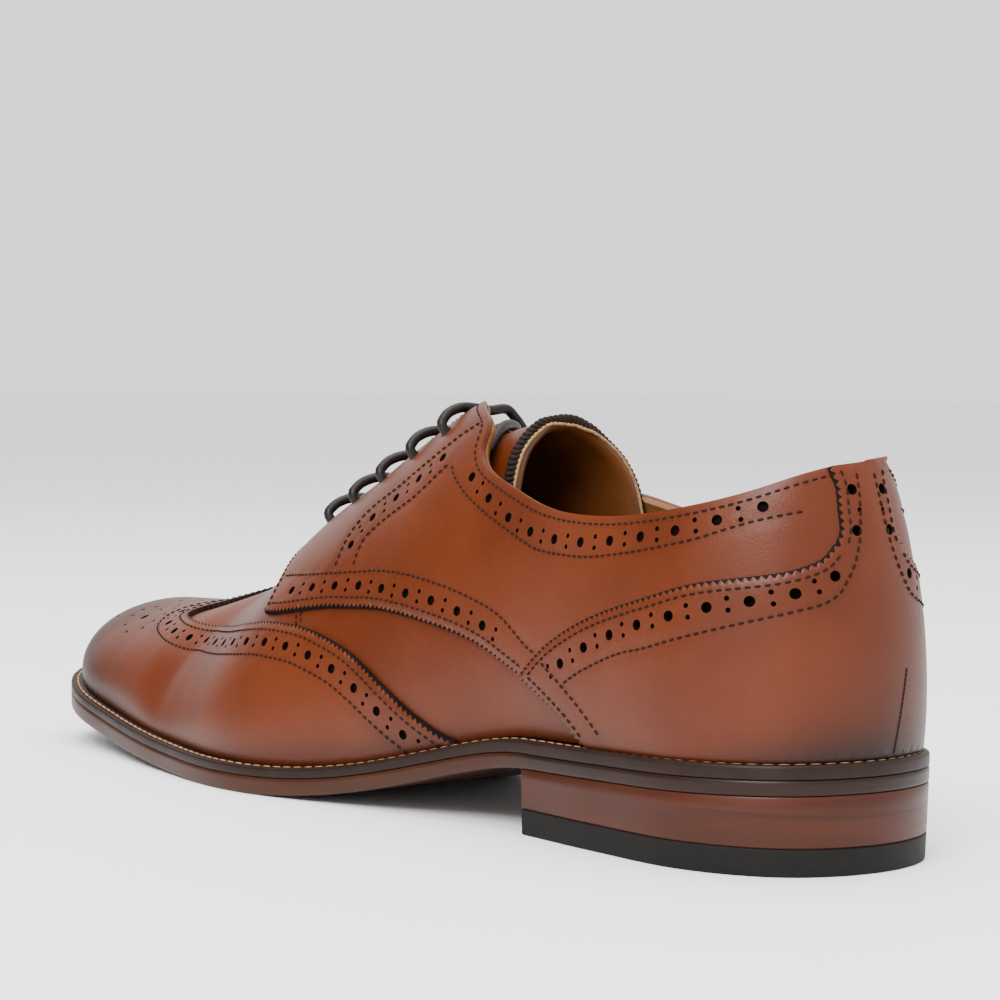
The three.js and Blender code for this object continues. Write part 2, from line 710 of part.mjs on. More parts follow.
const pieces = [
  { name: 'outsole', solid: outsole, colour: 0x5a2f1b, roughness: 0.55 },
  { name: 'welt', solid: welt, colour: 0x3a1c10, roughness: 0.55 },
  { name: 'heel_stack', solid: heelStack, colour: 0x6b3320, roughness: 0.5 },
  { name: 'top_lift', solid: topLift, colour: 0x2b211c, roughness: 0.8 },
  { name: 'insole', solid: insole, colour: 0xb98a55, roughness: 0.7 },
  { name: 'upper', solid: upper, colour: 0xa4512a, roughness: 0.4 },
  { name: 'wing_cap', solid: wingCap, colour: 0xa04c25, roughness: 0.4 },
  { name: 'quarter_outer', solid: quarterOuter, colour: 0xa9542c, roughness: 0.4 },
  { name: 'quarter_inner', solid: quarterInner, colour: 0xa9542c, roughness: 0.4 },
  { name: 'heel_counter', solid: heelCounter, colour: 0x9c4821, roughness: 0.4 },
  { name: 'tongue', solid: tongueSheet(), colour: 0x9a4c28, roughness: 0.5 },
  ...eyeletX.map((x, k) => ({
    name: `lace_bar_${k + 1}`, solid: laceBar(x - eyeletLag), colour: 0x33231d, roughness: 0.6,
  })),
  ...endRoutes.map((route, k) => ({
    name: `lace_end_${k + 1}`, solid: laceEnd(route), colour: 0x33231d, roughness: 0.6,
  })),
];

const shoe = new THREE.Group();
for (const { name, solid, colour, roughness } of pieces) {
  const material = new THREE.MeshStandardMaterial({ color: colour, roughness, metalness: 0 });
  const mesh = new THREE.Mesh(toGeometry(solid), material);
  mesh.name = name;
  shoe.add(mesh);
}

const footprint = new THREE.Box3().setFromObject(shoe);
const middle = footprint.getCenter(new THREE.Vector3()).setZ(footprint.min.z);
for (const mesh of shoe.children) mesh.geometry.translate(-middle.x, -middle.y, -middle.z);

export default shoe;
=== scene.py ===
"""Left leather derby shoe with a wing tip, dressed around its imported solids.

The upper's panels, seams, stitches and punched holes are laid out on the surface of the shoe last,
in the same shape as the solids. Lengths are in millimetres until a mesh is made, and then metres.
"""

import logging
import math
from dataclasses import dataclass, field
from enum import Enum

import bpy
import numpy as np
from mathutils import Matrix, Vector, kdtree
from mathutils.geometry import delaunay_2d_cdt

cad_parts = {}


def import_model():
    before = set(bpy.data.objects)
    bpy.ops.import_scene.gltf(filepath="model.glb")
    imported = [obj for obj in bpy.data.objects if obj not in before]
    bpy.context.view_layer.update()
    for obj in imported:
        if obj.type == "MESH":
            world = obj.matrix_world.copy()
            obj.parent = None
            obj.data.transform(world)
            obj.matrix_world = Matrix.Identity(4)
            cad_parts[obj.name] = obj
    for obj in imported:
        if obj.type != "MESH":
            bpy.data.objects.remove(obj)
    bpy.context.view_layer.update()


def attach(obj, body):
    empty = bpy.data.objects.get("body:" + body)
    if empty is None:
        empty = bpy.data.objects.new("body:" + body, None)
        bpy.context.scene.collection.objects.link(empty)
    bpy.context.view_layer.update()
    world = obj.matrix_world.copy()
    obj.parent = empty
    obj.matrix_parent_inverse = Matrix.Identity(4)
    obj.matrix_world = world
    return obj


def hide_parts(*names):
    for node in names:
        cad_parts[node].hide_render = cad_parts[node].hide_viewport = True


log = logging.getLogger("shoe")
Array = np.ndarray

# Crown of the last, the throat's front and the lace bars, in mm from the heel's back
CROWN_START = 32
CROWN_RUN = 245
THROAT_FRONT = 203.53
FRONT_BAR = 188
BAR_PITCH = 12.3

# Plan of the sole: turn in degrees from the heel's back to the toe, outer and inner as shares of the width
PLAN_ROWS = (
    (0, 0.0, 0.0), (18, 0.230, 0.222), (36, 0.349, 0.332), (52, 0.350, 0.345),
    (68, 0.333, 0.285), (84, 0.406, 0.281), (100, 0.499, 0.388), (116, 0.453, 0.510),
    (132, 0.388, 0.485), (148, 0.327, 0.353), (164, 0.204, 0.180), (180, 0.010, -0.010),
)

# Sections of the last: share of the length, crown as share of the instep height, fullness, bulge, lean
LAST_ROWS = (
    (0, 1.095, 2.19, 0.4, 0), (0.105, 1.095, 2.57, 1.8, 0), (0.197, 1.086, 2.67, 2.6, -0.2),
    (0.295, 1.062, 2.48, 2.8, -0.8), (0.361, 1.037, 2.27, 2.8, -1.3), (0.420, 1.000, 2.06, 2.5, -1.8),
    (0.492, 0.903, 1.82, 2.1, -2.9), (0.557, 0.799, 1.67, 2.1, -4.3), (0.623, 0.703, 1.54, 2.5, -5.3),
    (0.682, 0.575, 1.39, 2.9, -5.5), (0.741, 0.463, 1.35, 2.9, -5.5), (0.803, 0.404, 1.76, 2.5, -5.4),
    (0.859, 0.388, 1.97, 2.3, -5.2), (0.918, 0.384, 1.98, 2.1, -4.9), (1, 0.384, 2.34, 1.9, -4.9),
)

# Seams and rows of holes on the last: share of the length, share of the way from the welt to the crown
COLLAR = (
    (0.000, 0.503), (0.021, 0.463), (0.050, 0.418), (0.087, 0.379), (0.130, 0.353), (0.178, 0.339),
    (0.225, 0.348), (0.272, 0.384), (0.313, 0.448), (0.348, 0.525), (0.362, 0.600), (0.361, 0.650),
    (0.366, 0.705), (0.380, 0.760), (0.397, 0.830), (0.412, 0.930),
)
QUARTER_FRONT = (
    (0.716, 1.0), (0.697, 0.86), (0.672, 0.72), (0.631, 0.550), (0.620, 0.492), (0.613, 0.426),
)
QUARTER_EDGE = (
    (0.613, 0.426), (0.585, 0.408), (0.556, 0.393), (0.517, 0.368), (0.488, 0.342), (0.455, 0.308),
    (0.419, 0.261), (0.388, 0.218), (0.350, 0.167), (0.323, 0.129), (0.300, 0.096), (0.275, 0.068),
)
QUARTER_STITCH = (
    (0.613, 0.520), (0.572, 0.488), (0.524, 0.447), (0.490, 0.416), (0.459, 0.386), (0.428, 0.348),
    (0.375, 0.274), (0.337, 0.219), (0.305, 0.172), (0.275, 0.120), (0.256, 0.097),
)
QUARTER_HOLES = (
    (0.592, 0.458), (0.557, 0.440), (0.520, 0.412), (0.487, 0.384), (0.455, 0.346), (0.422, 0.303),
    (0.389, 0.259), (0.357, 0.214), (0.325, 0.166), (0.294, 0.119),
)
FACING_FRONT_STITCH = (
    (0.518, 0.448), (0.519, 0.481), (0.519, 0.543), (0.505, 0.593), (0.468, 0.617), (0.423, 0.647),
    (0.391, 0.681), (0.372, 0.700),
)
FACING_BACK_STITCH = (
    (0.490, 0.420), (0.492, 0.457), (0.488, 0.502), (0.464, 0.523), (0.429, 0.536), (0.395, 0.583),
)
FACING_HOLES = (
    (0.509, 0.461), (0.504, 0.535), (0.478, 0.566), (0.450, 0.583), (0.423, 0.601), (0.398, 0.635),
)
COLLAR_LOW_STITCH = (
    (0.395, 0.581), (0.382, 0.522), (0.357, 0.447), (0.321, 0.366), (0.278, 0.296), (0.248, 0.271),
    (0.203, 0.257), (0.154, 0.269), (0.111, 0.292), (0.085, 0.312), (0.041, 0.364), (0.015, 0.393),
)
COLLAR_HOLES = (
    (0.374, 0.545), (0.345, 0.460), (0.315, 0.383), (0.281, 0.327), (0.240, 0.295), (0.198, 0.285),
    (0.155, 0.296), (0.115, 0.314), (0.080, 0.342), (0.050, 0.376), (0.026, 0.412),
)
COUNTER_EDGE = (
    (0.006, 0.330), (0.012, 0.295), (0.028, 0.268), (0.056, 0.245), (0.090, 0.222), (0.132, 0.190),
    (0.181, 0.157), (0.213, 0.133), (0.238, 0.112), (0.255, 0.094), (0.275, 0.068),
)
COUNTER_FRONT = ((0.275, 0.068), (0.244, 0.037), (0.225, 0.019), (0.206, 0.001))
COUNTER_STITCH = (
    (0.000, 0.308), (0.002, 0.259), (0.009, 0.233), (0.023, 0.209), (0.054, 0.176), (0.087, 0.147),
    (0.128, 0.118), (0.158, 0.103), (0.197, 0.076), (0.222, 0.056), (0.245, 0.083),
)
STRIP_STITCH = ((0.0006, 0.49), (0.0008, 0.41), (0.0016, 0.33), (0.004, 0.272))
COUNTER_HOLES = (
    (0.003, 0.290), (0.017, 0.247), (0.041, 0.220), (0.072, 0.196), (0.107, 0.170), (0.147, 0.143),
    (0.186, 0.115), (0.220, 0.086), (0.249, 0.064), (0.224, 0.034),
)
COUNTER_FRONT_STITCH = ((0.250, 0.090), (0.222, 0.056), (0.203, 0.034), (0.190, 0.018), (0.180, 0.006))
WING_EDGE = (
    (0.775, 1.000), (0.790, 0.950), (0.805, 0.890), (0.826, 0.830), (0.840, 0.800), (0.850, 0.760),
    (0.852, 0.715), (0.848, 0.670), (0.838, 0.630), (0.820, 0.590), (0.800, 0.555), (0.775, 0.530),
    (0.745, 0.510), (0.700, 0.463), (0.660, 0.425), (0.630, 0.401), (0.586, 0.376), (0.545, 0.340),
    (0.513, 0.298), (0.478, 0.239), (0.452, 0.182), (0.427, 0.123), (0.400, 0.063), (0.375, 0.019),
    (0.357, 0.001),
)
VAMP_SEAM = ((0.556, 0.394), (0.551, 0.370), (0.545, 0.342))
MEDALLION = (
    (0.916, 0.595, 1.25), (0.880, 0.568, 0.55), (0.877, 0.504, 0.55), (0.943, 0.581, 0.55),
    (0.923, 0.502, 0.55), (0.897, 0.457, 0.55), (0.951, 0.654, 0.55), (0.946, 0.711, 0.55),
    (0.924, 0.690, 0.55), (0.889, 0.642, 0.55), (0.923, 0.771, 0.55), (0.905, 0.721, 0.55),
    (0.954, 0.845, 0.55), (0.969, 0.522, 0.55), (0.912, 0.950, 1.25), (0.935, 0.905, 0.55),
    (0.893, 0.850, 0.55), (0.875, 0.930, 0.55), (0.968, 0.960, 0.55), (0.885, 0.770, 0.55),
)

# Top edge of the tongue: across, then ahead and side as shares of the half width, height as a share
TONGUE_RIM = (
    (-1.00, -0.19, -0.88, 0.720), (-0.80, -0.15, -0.80, 0.812), (-0.60, -0.12, -0.65, 0.876),
    (-0.40, -0.09, -0.42, 0.928), (-0.20, -0.06, -0.16, 0.973), (0.00, -0.02, 0.12, 0.997),
    (0.20, 0.04, 0.39, 0.990), (0.40, 0.08, 0.62, 0.956), (0.60, 0.11, 0.79, 0.902),
    (0.80, 0.12, 0.87, 0.830), (1.00, 0.12, 0.91, 0.740),
)

# Free ends of the lace, as in the solids, before the shoe's middle is taken off
LACE_END_ROUTES = (
    ((133.5, -7.0, 91.8), (131.0, -4.4, 93.0), (128.0, 0.0, 93.7), (125.2, 4.5, 93.2), (122.6, 8.8, 91.4),
     (120.8, 11.6, 89.6)),
    ((137.2, -7.0, 90.2), (134.9, -4.2, 91.4), (132.0, -0.2, 92.2), (129.3, 3.8, 91.8), (126.8, 7.6, 90.6),
     (125.0, 10.4, 89.0)),
)


class Side(Enum):
    """Side of the shoe."""

    OUTER = 1
    INNER = -1


def crown_angle(x: np.ndarray) -> np.ndarray:
    """Turn in degrees at which the crown passes a place from the heel's back."""
    return np.degrees(np.arccos(1 - 2 * (x - CROWN_START) / CROWN_RUN))


def hermite(at: Array, values: Array, slopes: Array, x: Array) -> Array:
    """Cubic curve through table values.

    Args:
        at: Places of the values, rising.
        values: The values.
        slopes: Slope at each value.
        x: Places to read.

    Returns:
        The value at each place.
    """
    inside = np.clip(x, at[0], at[-1])
    i = np.clip(np.searchsorted(at, inside, side="left") - 1, 0, len(at) - 2)
    width = at[i + 1] - at[i]
    t = (inside - at[i]) / width
    rise = values[i + 1] - values[i]
    a = slopes[i] * width - rise
    b = rise - slopes[i + 1] * width
    return values[i] + t * rise + t * (1 - t) * (a * (1 - t) + b * t)


class Smooth:
    """Curve through table values whose slopes never overshoot."""

    def __init__(self, at: list[float], values: list[float]) -> None:
        """Works out the slopes.

        Args:
            at: Places of the values, rising.
            values: The values.
        """
        self.at = np.array(at, float)
        self.values = np.array(values, float)
        step = np.diff(self.values) / np.diff(self.at)
        product = step[:-1] * step[1:]
        total = step[:-1] + step[1:]
        middle = np.where(product > 0, 2 * product / np.where(product > 0, total, 1), 0)
        self.slopes = np.concatenate([step[:1], middle, step[-1:]])

    def __call__(self, x: Array) -> Array:
        """Reads the curve."""
        return hermite(self.at, self.values, self.slopes, np.asarray(x, float))


class Flowing(Smooth):
    """Curve through table values with slopes taken across both neighbours."""

    def __init__(self, at: list[float], values: list[float]) -> None:
        """Works out the slopes.

        Args:
            at: Places of the values, rising.
            values: The values.
        """
        self.at = np.array(at, float)
        self.values = np.array(values, float)
        after = np.minimum(np.arange(len(at)) + 1, len(at) - 1)
        before = np.maximum(np.arange(len(at)) - 1, 0)
        self.slopes = (self.values[after] - self.values[before]) / (self.at[after] - self.at[before])


def unit(v: Array) -> Array:
    """Scales each row to length one."""
    return v / np.maximum(np.linalg.norm(v, axis=-1, keepdims=True), 1e-12)


def mix(a: Array, b: Array, share: Array) -> Array:
    """Blends two values."""
    return a + (b - a) * share


@dataclass
class Sole:
    """Plan and heights of the sole, in millimetres."""

    length: float = 305.0
    width: float = 98.0
    heel_length: float = 83.5
    heel_back: float = 17.5
    heel_front: float = 15.3
    heel_taper: float = 0.5
    lift: float = 6.0
    breast_hollow: float = 3.5
    toe_spring: float = 13.2
    tread_share: float = 0.587
    tread_flat: float = 7.9
    arch_dip: float = 2.0
    gap: float = 0.3

    def __post_init__(self) -> None:
        """Makes the plan's curve, the whole way round."""
        rows = PLAN_ROWS
        back = rows[:-1][::-1]
        turns = [r[0] for r in rows] + [360 - r[0] for r in back]
        sides = [r[1] * self.width for r in rows] + [-r[2] * self.width for r in back]
        self.side = Flowing([turns[-2] - 360, *turns, turns[1] + 360], [sides[-2], *sides, sides[1]])
        around = self.side(np.linspace(0, 360, 3601))
        self.middle = np.array([self.length / 2, (around.max() + around.min()) / 2, 0.0])

    def plan(self, turn: Array, inset: Array = 0.0) -> tuple[Array, Array, Array, Array, Array]:
        """Point of the plan, moved in from the edge.

        Args:
            turn: Degrees from the heel's back, by the outer side.
            inset: Distance in from the edge.

        Returns:
            x, y, the outward direction's x and y, and the length along the shoe.
        """
        turn = np.mod(np.asarray(turn, float), 360.0)
        x = self.length / 2 * (1 - np.cos(np.radians(turn)))
        small = 0.5
        dx = self.length / 2 * (np.cos(np.radians(turn - small)) - np.cos(np.radians(turn + small)))
        dy = self.side(turn + small) - self.side(turn - small)
        size = np.hypot(dx, dy)
        nx, ny = -dy / size, dx / size
        return x - nx * inset, self.side(turn) - ny * inset, nx, ny, x

    def underside(self, x: Array) -> Array:
        """Height of the outsole's lower face."""
        slope = (self.heel_front - self.heel_back) / self.heel_length
        start = self.tread_share * self.length
        run = start - self.heel_length
        t = np.clip((x - self.heel_length) / run, 0, 1)
        fall = (2 * t**3 - 3 * t**2 + 1) * self.heel_front + (t**3 - 2 * t**2 + t) * run * slope
        arch = fall - self.arch_dip * 16 * (t * (1 - t)) ** 2
        flat = start + self.tread_flat
        toe = self.toe_spring * np.clip((x - flat) / (self.length - flat), 0, None) ** 2
        return np.where(x < self.heel_length, self.heel_back + slope * x, np.where(x < start, arch, toe))

    def thinning(self, x: Array) -> Array:
        """Share of the way from the heel's thickness to the ball's."""
        return np.clip((np.asarray(x, float) - 80) / 90, 0, 1)

    def outsole_top(self, x: Array) -> Array:
        """Height of the outsole's upper face."""
        return self.underside(x) + mix(3.5, 4.4, self.thinning(x))

    def welt_top(self, x: Array) -> Array:
        """Height of the welt's upper face."""
        return self.outsole_top(x) + mix(3.3, 2.7, self.thinning(x))

    def welt_shows(self, x: Array) -> Array:
        """Width of welt that shows past the upper."""
        return mix(3.8, 5.0, self.thinning(x))


class Last:
    """Surface of the shoe last, which the upper follows."""

    def __init__(self, sole: Sole) -> None:
        """Makes the section curves and a tree for finding the nearest place.

        Args:
            sole: The sole below the last.
        """
        self.sole = sole
        self.heel_pole = 32.0
        self.toe_pole = 28.0
        at = [r[0] for r in LAST_ROWS]
        self.crown = Smooth(at, [r[1] * 101.0 for r in LAST_ROWS])
        self.fullness = Smooth(at, [r[2] for r in LAST_ROWS])
        self.bulge = Smooth(at, [r[3] for r in LAST_ROWS])
        self.lean = Smooth(at, [r[4] for r in LAST_ROWS])
        turns = np.arange(0, 360, 0.8)
        ups = np.concatenate([np.linspace(0, 0.06, 12), np.linspace(0.065, 1, 150)])
        grid_turn, grid_up = np.meshgrid(turns, ups, indexing="ij")
        self.known = np.stack([grid_turn.ravel(), grid_up.ravel()], 1)
        points = self.point(self.known[:, 0], self.known[:, 1])
        self.tree = kdtree.KDTree(len(points))
        for i, p in enumerate(points):
            self.tree.insert(p, i)
        self.tree.balance()
        self.table_turn = np.arange(0, 361, 1.5)
        self.table_up = np.concatenate([np.linspace(0, 0.1, 21), np.linspace(0.12, 1, 80)])
        mesh_turn, mesh_up = np.meshgrid(self.table_turn, self.table_up, indexing="ij")
        sections = self.point(mesh_turn, mesh_up)
        steps = np.linalg.norm(np.diff(sections, axis=1), axis=2)[:, ::-1]
        self.girth = np.zeros(mesh_up.shape)
        self.girth[:, :-1] = np.cumsum(steps, axis=1)[:, ::-1]

    def from_crown(self, turn: Array, up: Array) -> Array:
        """Distance along the surface to the crown."""
        turn = np.mod(np.asarray(turn, float), 360) / 1.5
        i = np.clip(turn.astype(int), 0, len(self.table_turn) - 2)
        at = np.interp(up, self.table_up, np.arange(len(self.table_up)))
        j = np.clip(at.astype(int), 0, len(self.table_up) - 2)
        a, b = turn - i, at - j
        low = mix(self.girth[i, j], self.girth[i + 1, j], a)
        high = mix(self.girth[i, j + 1], self.girth[i + 1, j + 1], a)
        return mix(low, high, b)

    def point(self, turn: Array, up: Array) -> Array:
        """Point of the surface.

        Args:
            turn: Degrees round the plan.
            up: 0 at the welt, 1 at the crown.

        Returns:
            One row of x, y, z for each place.
        """
        x0, y0, nx, ny, station = self.sole.plan(turn)
        inset = self.sole.welt_shows(station)
        x, y = x0 - nx * inset, y0 - ny * inset
        share = station / self.sole.length
        crown_x = mix(self.heel_pole, self.sole.length - self.toe_pole, share)
        crown_share = crown_x / self.sole.length
        power = 2 / self.fullness(share)
        half = np.clip(up, 0, 1) * np.pi / 2
        inwards = np.maximum(np.cos(half), 0) ** power
        upwards = np.sin(half) ** power
        base = self.sole.welt_top(x) + self.sole.gap
        height = (self.crown(crown_share) - base) * upwards
        swell = self.bulge(share) * height / 22 * np.exp(1 - height / 22) * inwards
        return np.stack([
            mix(crown_x, x, inwards) + nx * swell,
            mix(self.lean(crown_share), y, inwards) + ny * swell,
            base + height,
        ], -1)

    def _normal(self, turn: Array, up: Array) -> Array:
        """Outward direction from small steps on the surface."""
        around = self.point(turn + 0.06, up) - self.point(turn - 0.06, up)
        climb = self.point(turn, up + 0.001) - self.point(turn, up - 0.001)
        return unit(np.cross(climb, around))

    def normal(self, turn: Array, up: Array) -> Array:
        """Outward direction, the same from both sides at the crown."""
        near = np.clip(up, 0.004, 0.985)
        here = self._normal(turn, near)
        there = self._normal(360 - turn, near)
        ridge = np.clip((np.asarray(up) - 0.955) / 0.045, 0, 1)[..., None]
        return unit(here * (1 - ridge / 2) + there * ridge / 2)

    def shell(self, turn: Array, up: Array, out: Array) -> Array:
        """Point at a distance square to the surface."""
        return self.point(turn, up) + self.normal(turn, up) * np.asarray(out, float)[..., None]

    def locate(self, points: Array) -> tuple[Array, Array]:
        """Place on the surface nearest to each point.

        Args:
            points: Rows of x, y, z.

        Returns:
            The turn and the height up of each place.
        """
        index = [self.tree.find(p)[1] for p in points]
        turn, up = self.known[index].T.copy()
        for _ in range(4):
            here = self.point(turn, up)
            j1 = (self.point(turn + 0.05, up) - self.point(turn - 0.05, up)) / 0.1
            low, high = np.clip(up - 0.002, 0, 1), np.clip(up + 0.002, 0, 1)
            j2 = (self.point(turn, high) - self.point(turn, low)) / (high - low)[:, None]
            miss = points - here
            a, b, c = (j1 * j1).sum(1) + 1e-4, (j1 * j2).sum(1), (j2 * j2).sum(1) + 1.0
            p, q = (j1 * miss).sum(1), (j2 * miss).sum(1)
            det = a * c - b * b
            turn = turn + np.clip((c * p - b * q) / det, -2, 2)
            up = up + np.clip((a * q - b * p) / det, -0.03, 0.03)
            over = up > 1
            turn = np.where(over, 360 - turn, turn)
            up = np.clip(np.where(over, 2 - up, up), 0, 1)
        return np.mod(turn, 360), up

    def chart(self, turn: Array, up: Array) -> Array:
        """Flat map of the surface in which no two places meet."""
        x0, y0, _, _, station = self.sole.plan(turn)
        share = station / self.sole.length
        crown_x = mix(self.heel_pole, self.sole.length - self.toe_pole, share)
        edge = np.stack([x0, y0], -1)
        crown = np.stack([crown_x, self.lean(crown_x / self.sole.length)], -1)
        return crown + unit(edge - crown) * self.from_crown(turn, up)[..., None]


class Curve:
    """Line on the last, as places that can be read at even steps."""

    _skirt: Array = None

    @property
    def skirt(self) -> Array:
        """How far the lower rim stands out past each place of the line."""
        return np.zeros((len(self.turn), 3)) if self._skirt is None else self._skirt

    @skirt.setter
    def skirt(self, value: Array) -> None:
        """Keeps the rim's distances."""
        self._skirt = value

    def __init__(self, last: Last, turn: Array, up: Array, step: float = 0.8, closed: bool = False) -> None:
        """Spaces the line evenly.

        Args:
            last: The surface.
            turn: Turns of the line's places.
            up: Heights of the line's places.
            step: Distance between places.
            closed: Whether the line is a loop.
        """
        self.last = last
        points = last.point(turn, up)
        if closed:
            points = np.vstack([points, points[:1]])
        reach = np.concatenate([[0], np.cumsum(np.linalg.norm(np.diff(points, axis=0), axis=1))])
        count = max(int(round(reach[-1] / step)), 2)
        marks = np.linspace(0, reach[-1], count + 1)
        if closed:
            marks = marks[:-1]
        spaced = np.stack([np.interp(marks, reach, points[:, k]) for k in range(3)], 1)
        self.turn, self.up = last.locate(spaced)
        self.length = float(reach[-1])
        self.closed = closed

    @classmethod
    def through(cls, last: Last, rows: tuple, side: Side, step: float = 0.8) -> "Curve":
        """Smooth line through a table's rows on one side.

        Args:
            last: The surface.
            rows: Rows of share of the length and share of the height.
            side: Side of the shoe.
            step: Distance between places.

        Returns:
            The line.
        """
        table = np.array(rows, float)[:, :2]
        fine = np.linspace(0, len(table) - 1, 24 * (len(table) - 1) + 1)
        at = np.arange(len(table))
        along = Flowing(list(at), list(table[:, 0]))(fine)
        up = Flowing(list(at), list(table[:, 1]))(fine)
        turn = np.degrees(np.arccos(np.clip(1 - 2 * along, -1, 1)))
        turn = turn if side is Side.OUTER else 360 - turn
        return cls(last, turn, np.clip(up, 0, 1), step)

    @classmethod
    def joined(cls, last: Last, curves: list, step: float, closed: bool, rounding: float = 0.0) -> "Curve":
        """One line from several, with its corners rounded.

        Args:
            last: The surface.
            curves: Lines end to end.
            step: Distance between places.
            closed: Whether the whole is a loop.
            rounding: Length over which corners are smoothed.

        Returns:
            The line.
        """
        turn = np.concatenate([c.turn for c in curves])
        up = np.concatenate([c.up for c in curves])
        line = cls(last, turn, up, step, closed)
        passes = int((rounding / step) ** 2)
        if passes:
            points = last.point(line.turn, line.up)
            for _ in range(passes):
                soft = (np.roll(points, 1, 0) + 2 * points + np.roll(points, -1, 0)) / 4
                if not closed:
                    soft[0], soft[-1] = points[0], points[-1]
                points = soft
            line.turn, line.up = last.locate(points)
        return line

    def reversed(self) -> "Curve":
        """The same line run the other way."""
        other = object.__new__(Curve)
        other.last, other.length, other.closed = self.last, self.length, self.closed
        other.turn, other.up = self.turn[::-1], self.up[::-1]
        other.skirt = self.skirt[::-1]
        return other

    def points(self, out: float = 0.0) -> Array:
        """Points of the line at a distance from the surface."""
        return self.last.shell(self.turn, self.up, np.full(len(self.turn), out))

    def frames(self) -> tuple[Array, Array, Array]:
        """Direction of the line, direction out of the surface, and the direction to its left."""
        points = self.points()
        if self.closed:
            ahead = np.roll(points, -1, 0) - np.roll(points, 1, 0)
        else:
            ahead = np.gradient(points, axis=0)
        ahead = unit(ahead)
        out = self.last.normal(self.turn, self.up)
        return ahead, out, unit(np.cross(out, ahead))

    def shifted(self, left: Array) -> "Curve":
        """The line moved to its left along the surface.

        Args:
            left: Distance, one for all or one for each place.

        Returns:
            The moved line.
        """
        _, _, across = self.frames()
        moved = self.points() + across * np.broadcast_to(np.asarray(left, float), len(self.turn))[:, None]
        other = object.__new__(Curve)
        other.last, other.length, other.closed = self.last, self.length, self.closed
        other.turn, other.up = self.last.locate(moved)
        return other

    def spaced(self, step: float) -> "Curve":
        """The same line with another distance between its places."""
        return Curve(self.last, self.turn, self.up, step, self.closed)

    def cut(self, start: float, end: float) -> "Curve":
        """Stretch of the line between two shares of its length."""
        n = len(self.turn) - 1
        piece = slice(int(round(start * n)), int(round(end * n)) + 1)
        other = object.__new__(Curve)
        other.last, other.length, other.closed = self.last, self.length * (end - start), False
        other.turn, other.up = self.turn[piece], self.up[piece]
        return other


class Link:
    """A shader socket that takes part in sums."""

    def __init__(self, paint: "Paint", socket: bpy.types.NodeSocket) -> None:
        """Keeps the socket and its material's builder."""
        self.paint = paint
        self.socket = socket

    def _math(self, operation: str, *values: object) -> "Link":
        """Adds a Math node."""
        return self.paint.node("ShaderNodeMath", {"operation": operation}, dict(enumerate(values)))

    def __add__(self, other: object) -> "Link":
        """Sum."""
        return self._math("ADD", self, other)

    __radd__ = __add__

    def __sub__(self, other: object) -> "Link":
        """Difference."""
        return self._math("SUBTRACT", self, other)

    def __rsub__(self, other: object) -> "Link":
        """Difference the other way."""
        return self._math("SUBTRACT", other, self)

    def __mul__(self, other: object) -> "Link":
        """Product."""
        return self._math("MULTIPLY", self, other)

    __rmul__ = __mul__

    def __truediv__(self, other: object) -> "Link":
        """Quotient."""
        return self._math("DIVIDE", self, other)

    def __pow__(self, other: object) -> "Link":
        """Power."""
        return self._math("POWER", self, other)

    def clamp(self) -> "Link":
        """Value held between 0 and 1."""
        return self.paint.node("ShaderNodeClamp", {}, {0: self})

    def ramp(self, low: float, high: float) -> "Link":
        """0 at low, 1 at high, and smooth between."""
        return self.paint.node(
            "ShaderNodeMapRange", {"interpolation_type": "SMOOTHSTEP"}, {0: self, 1: low, 2: high}
        )


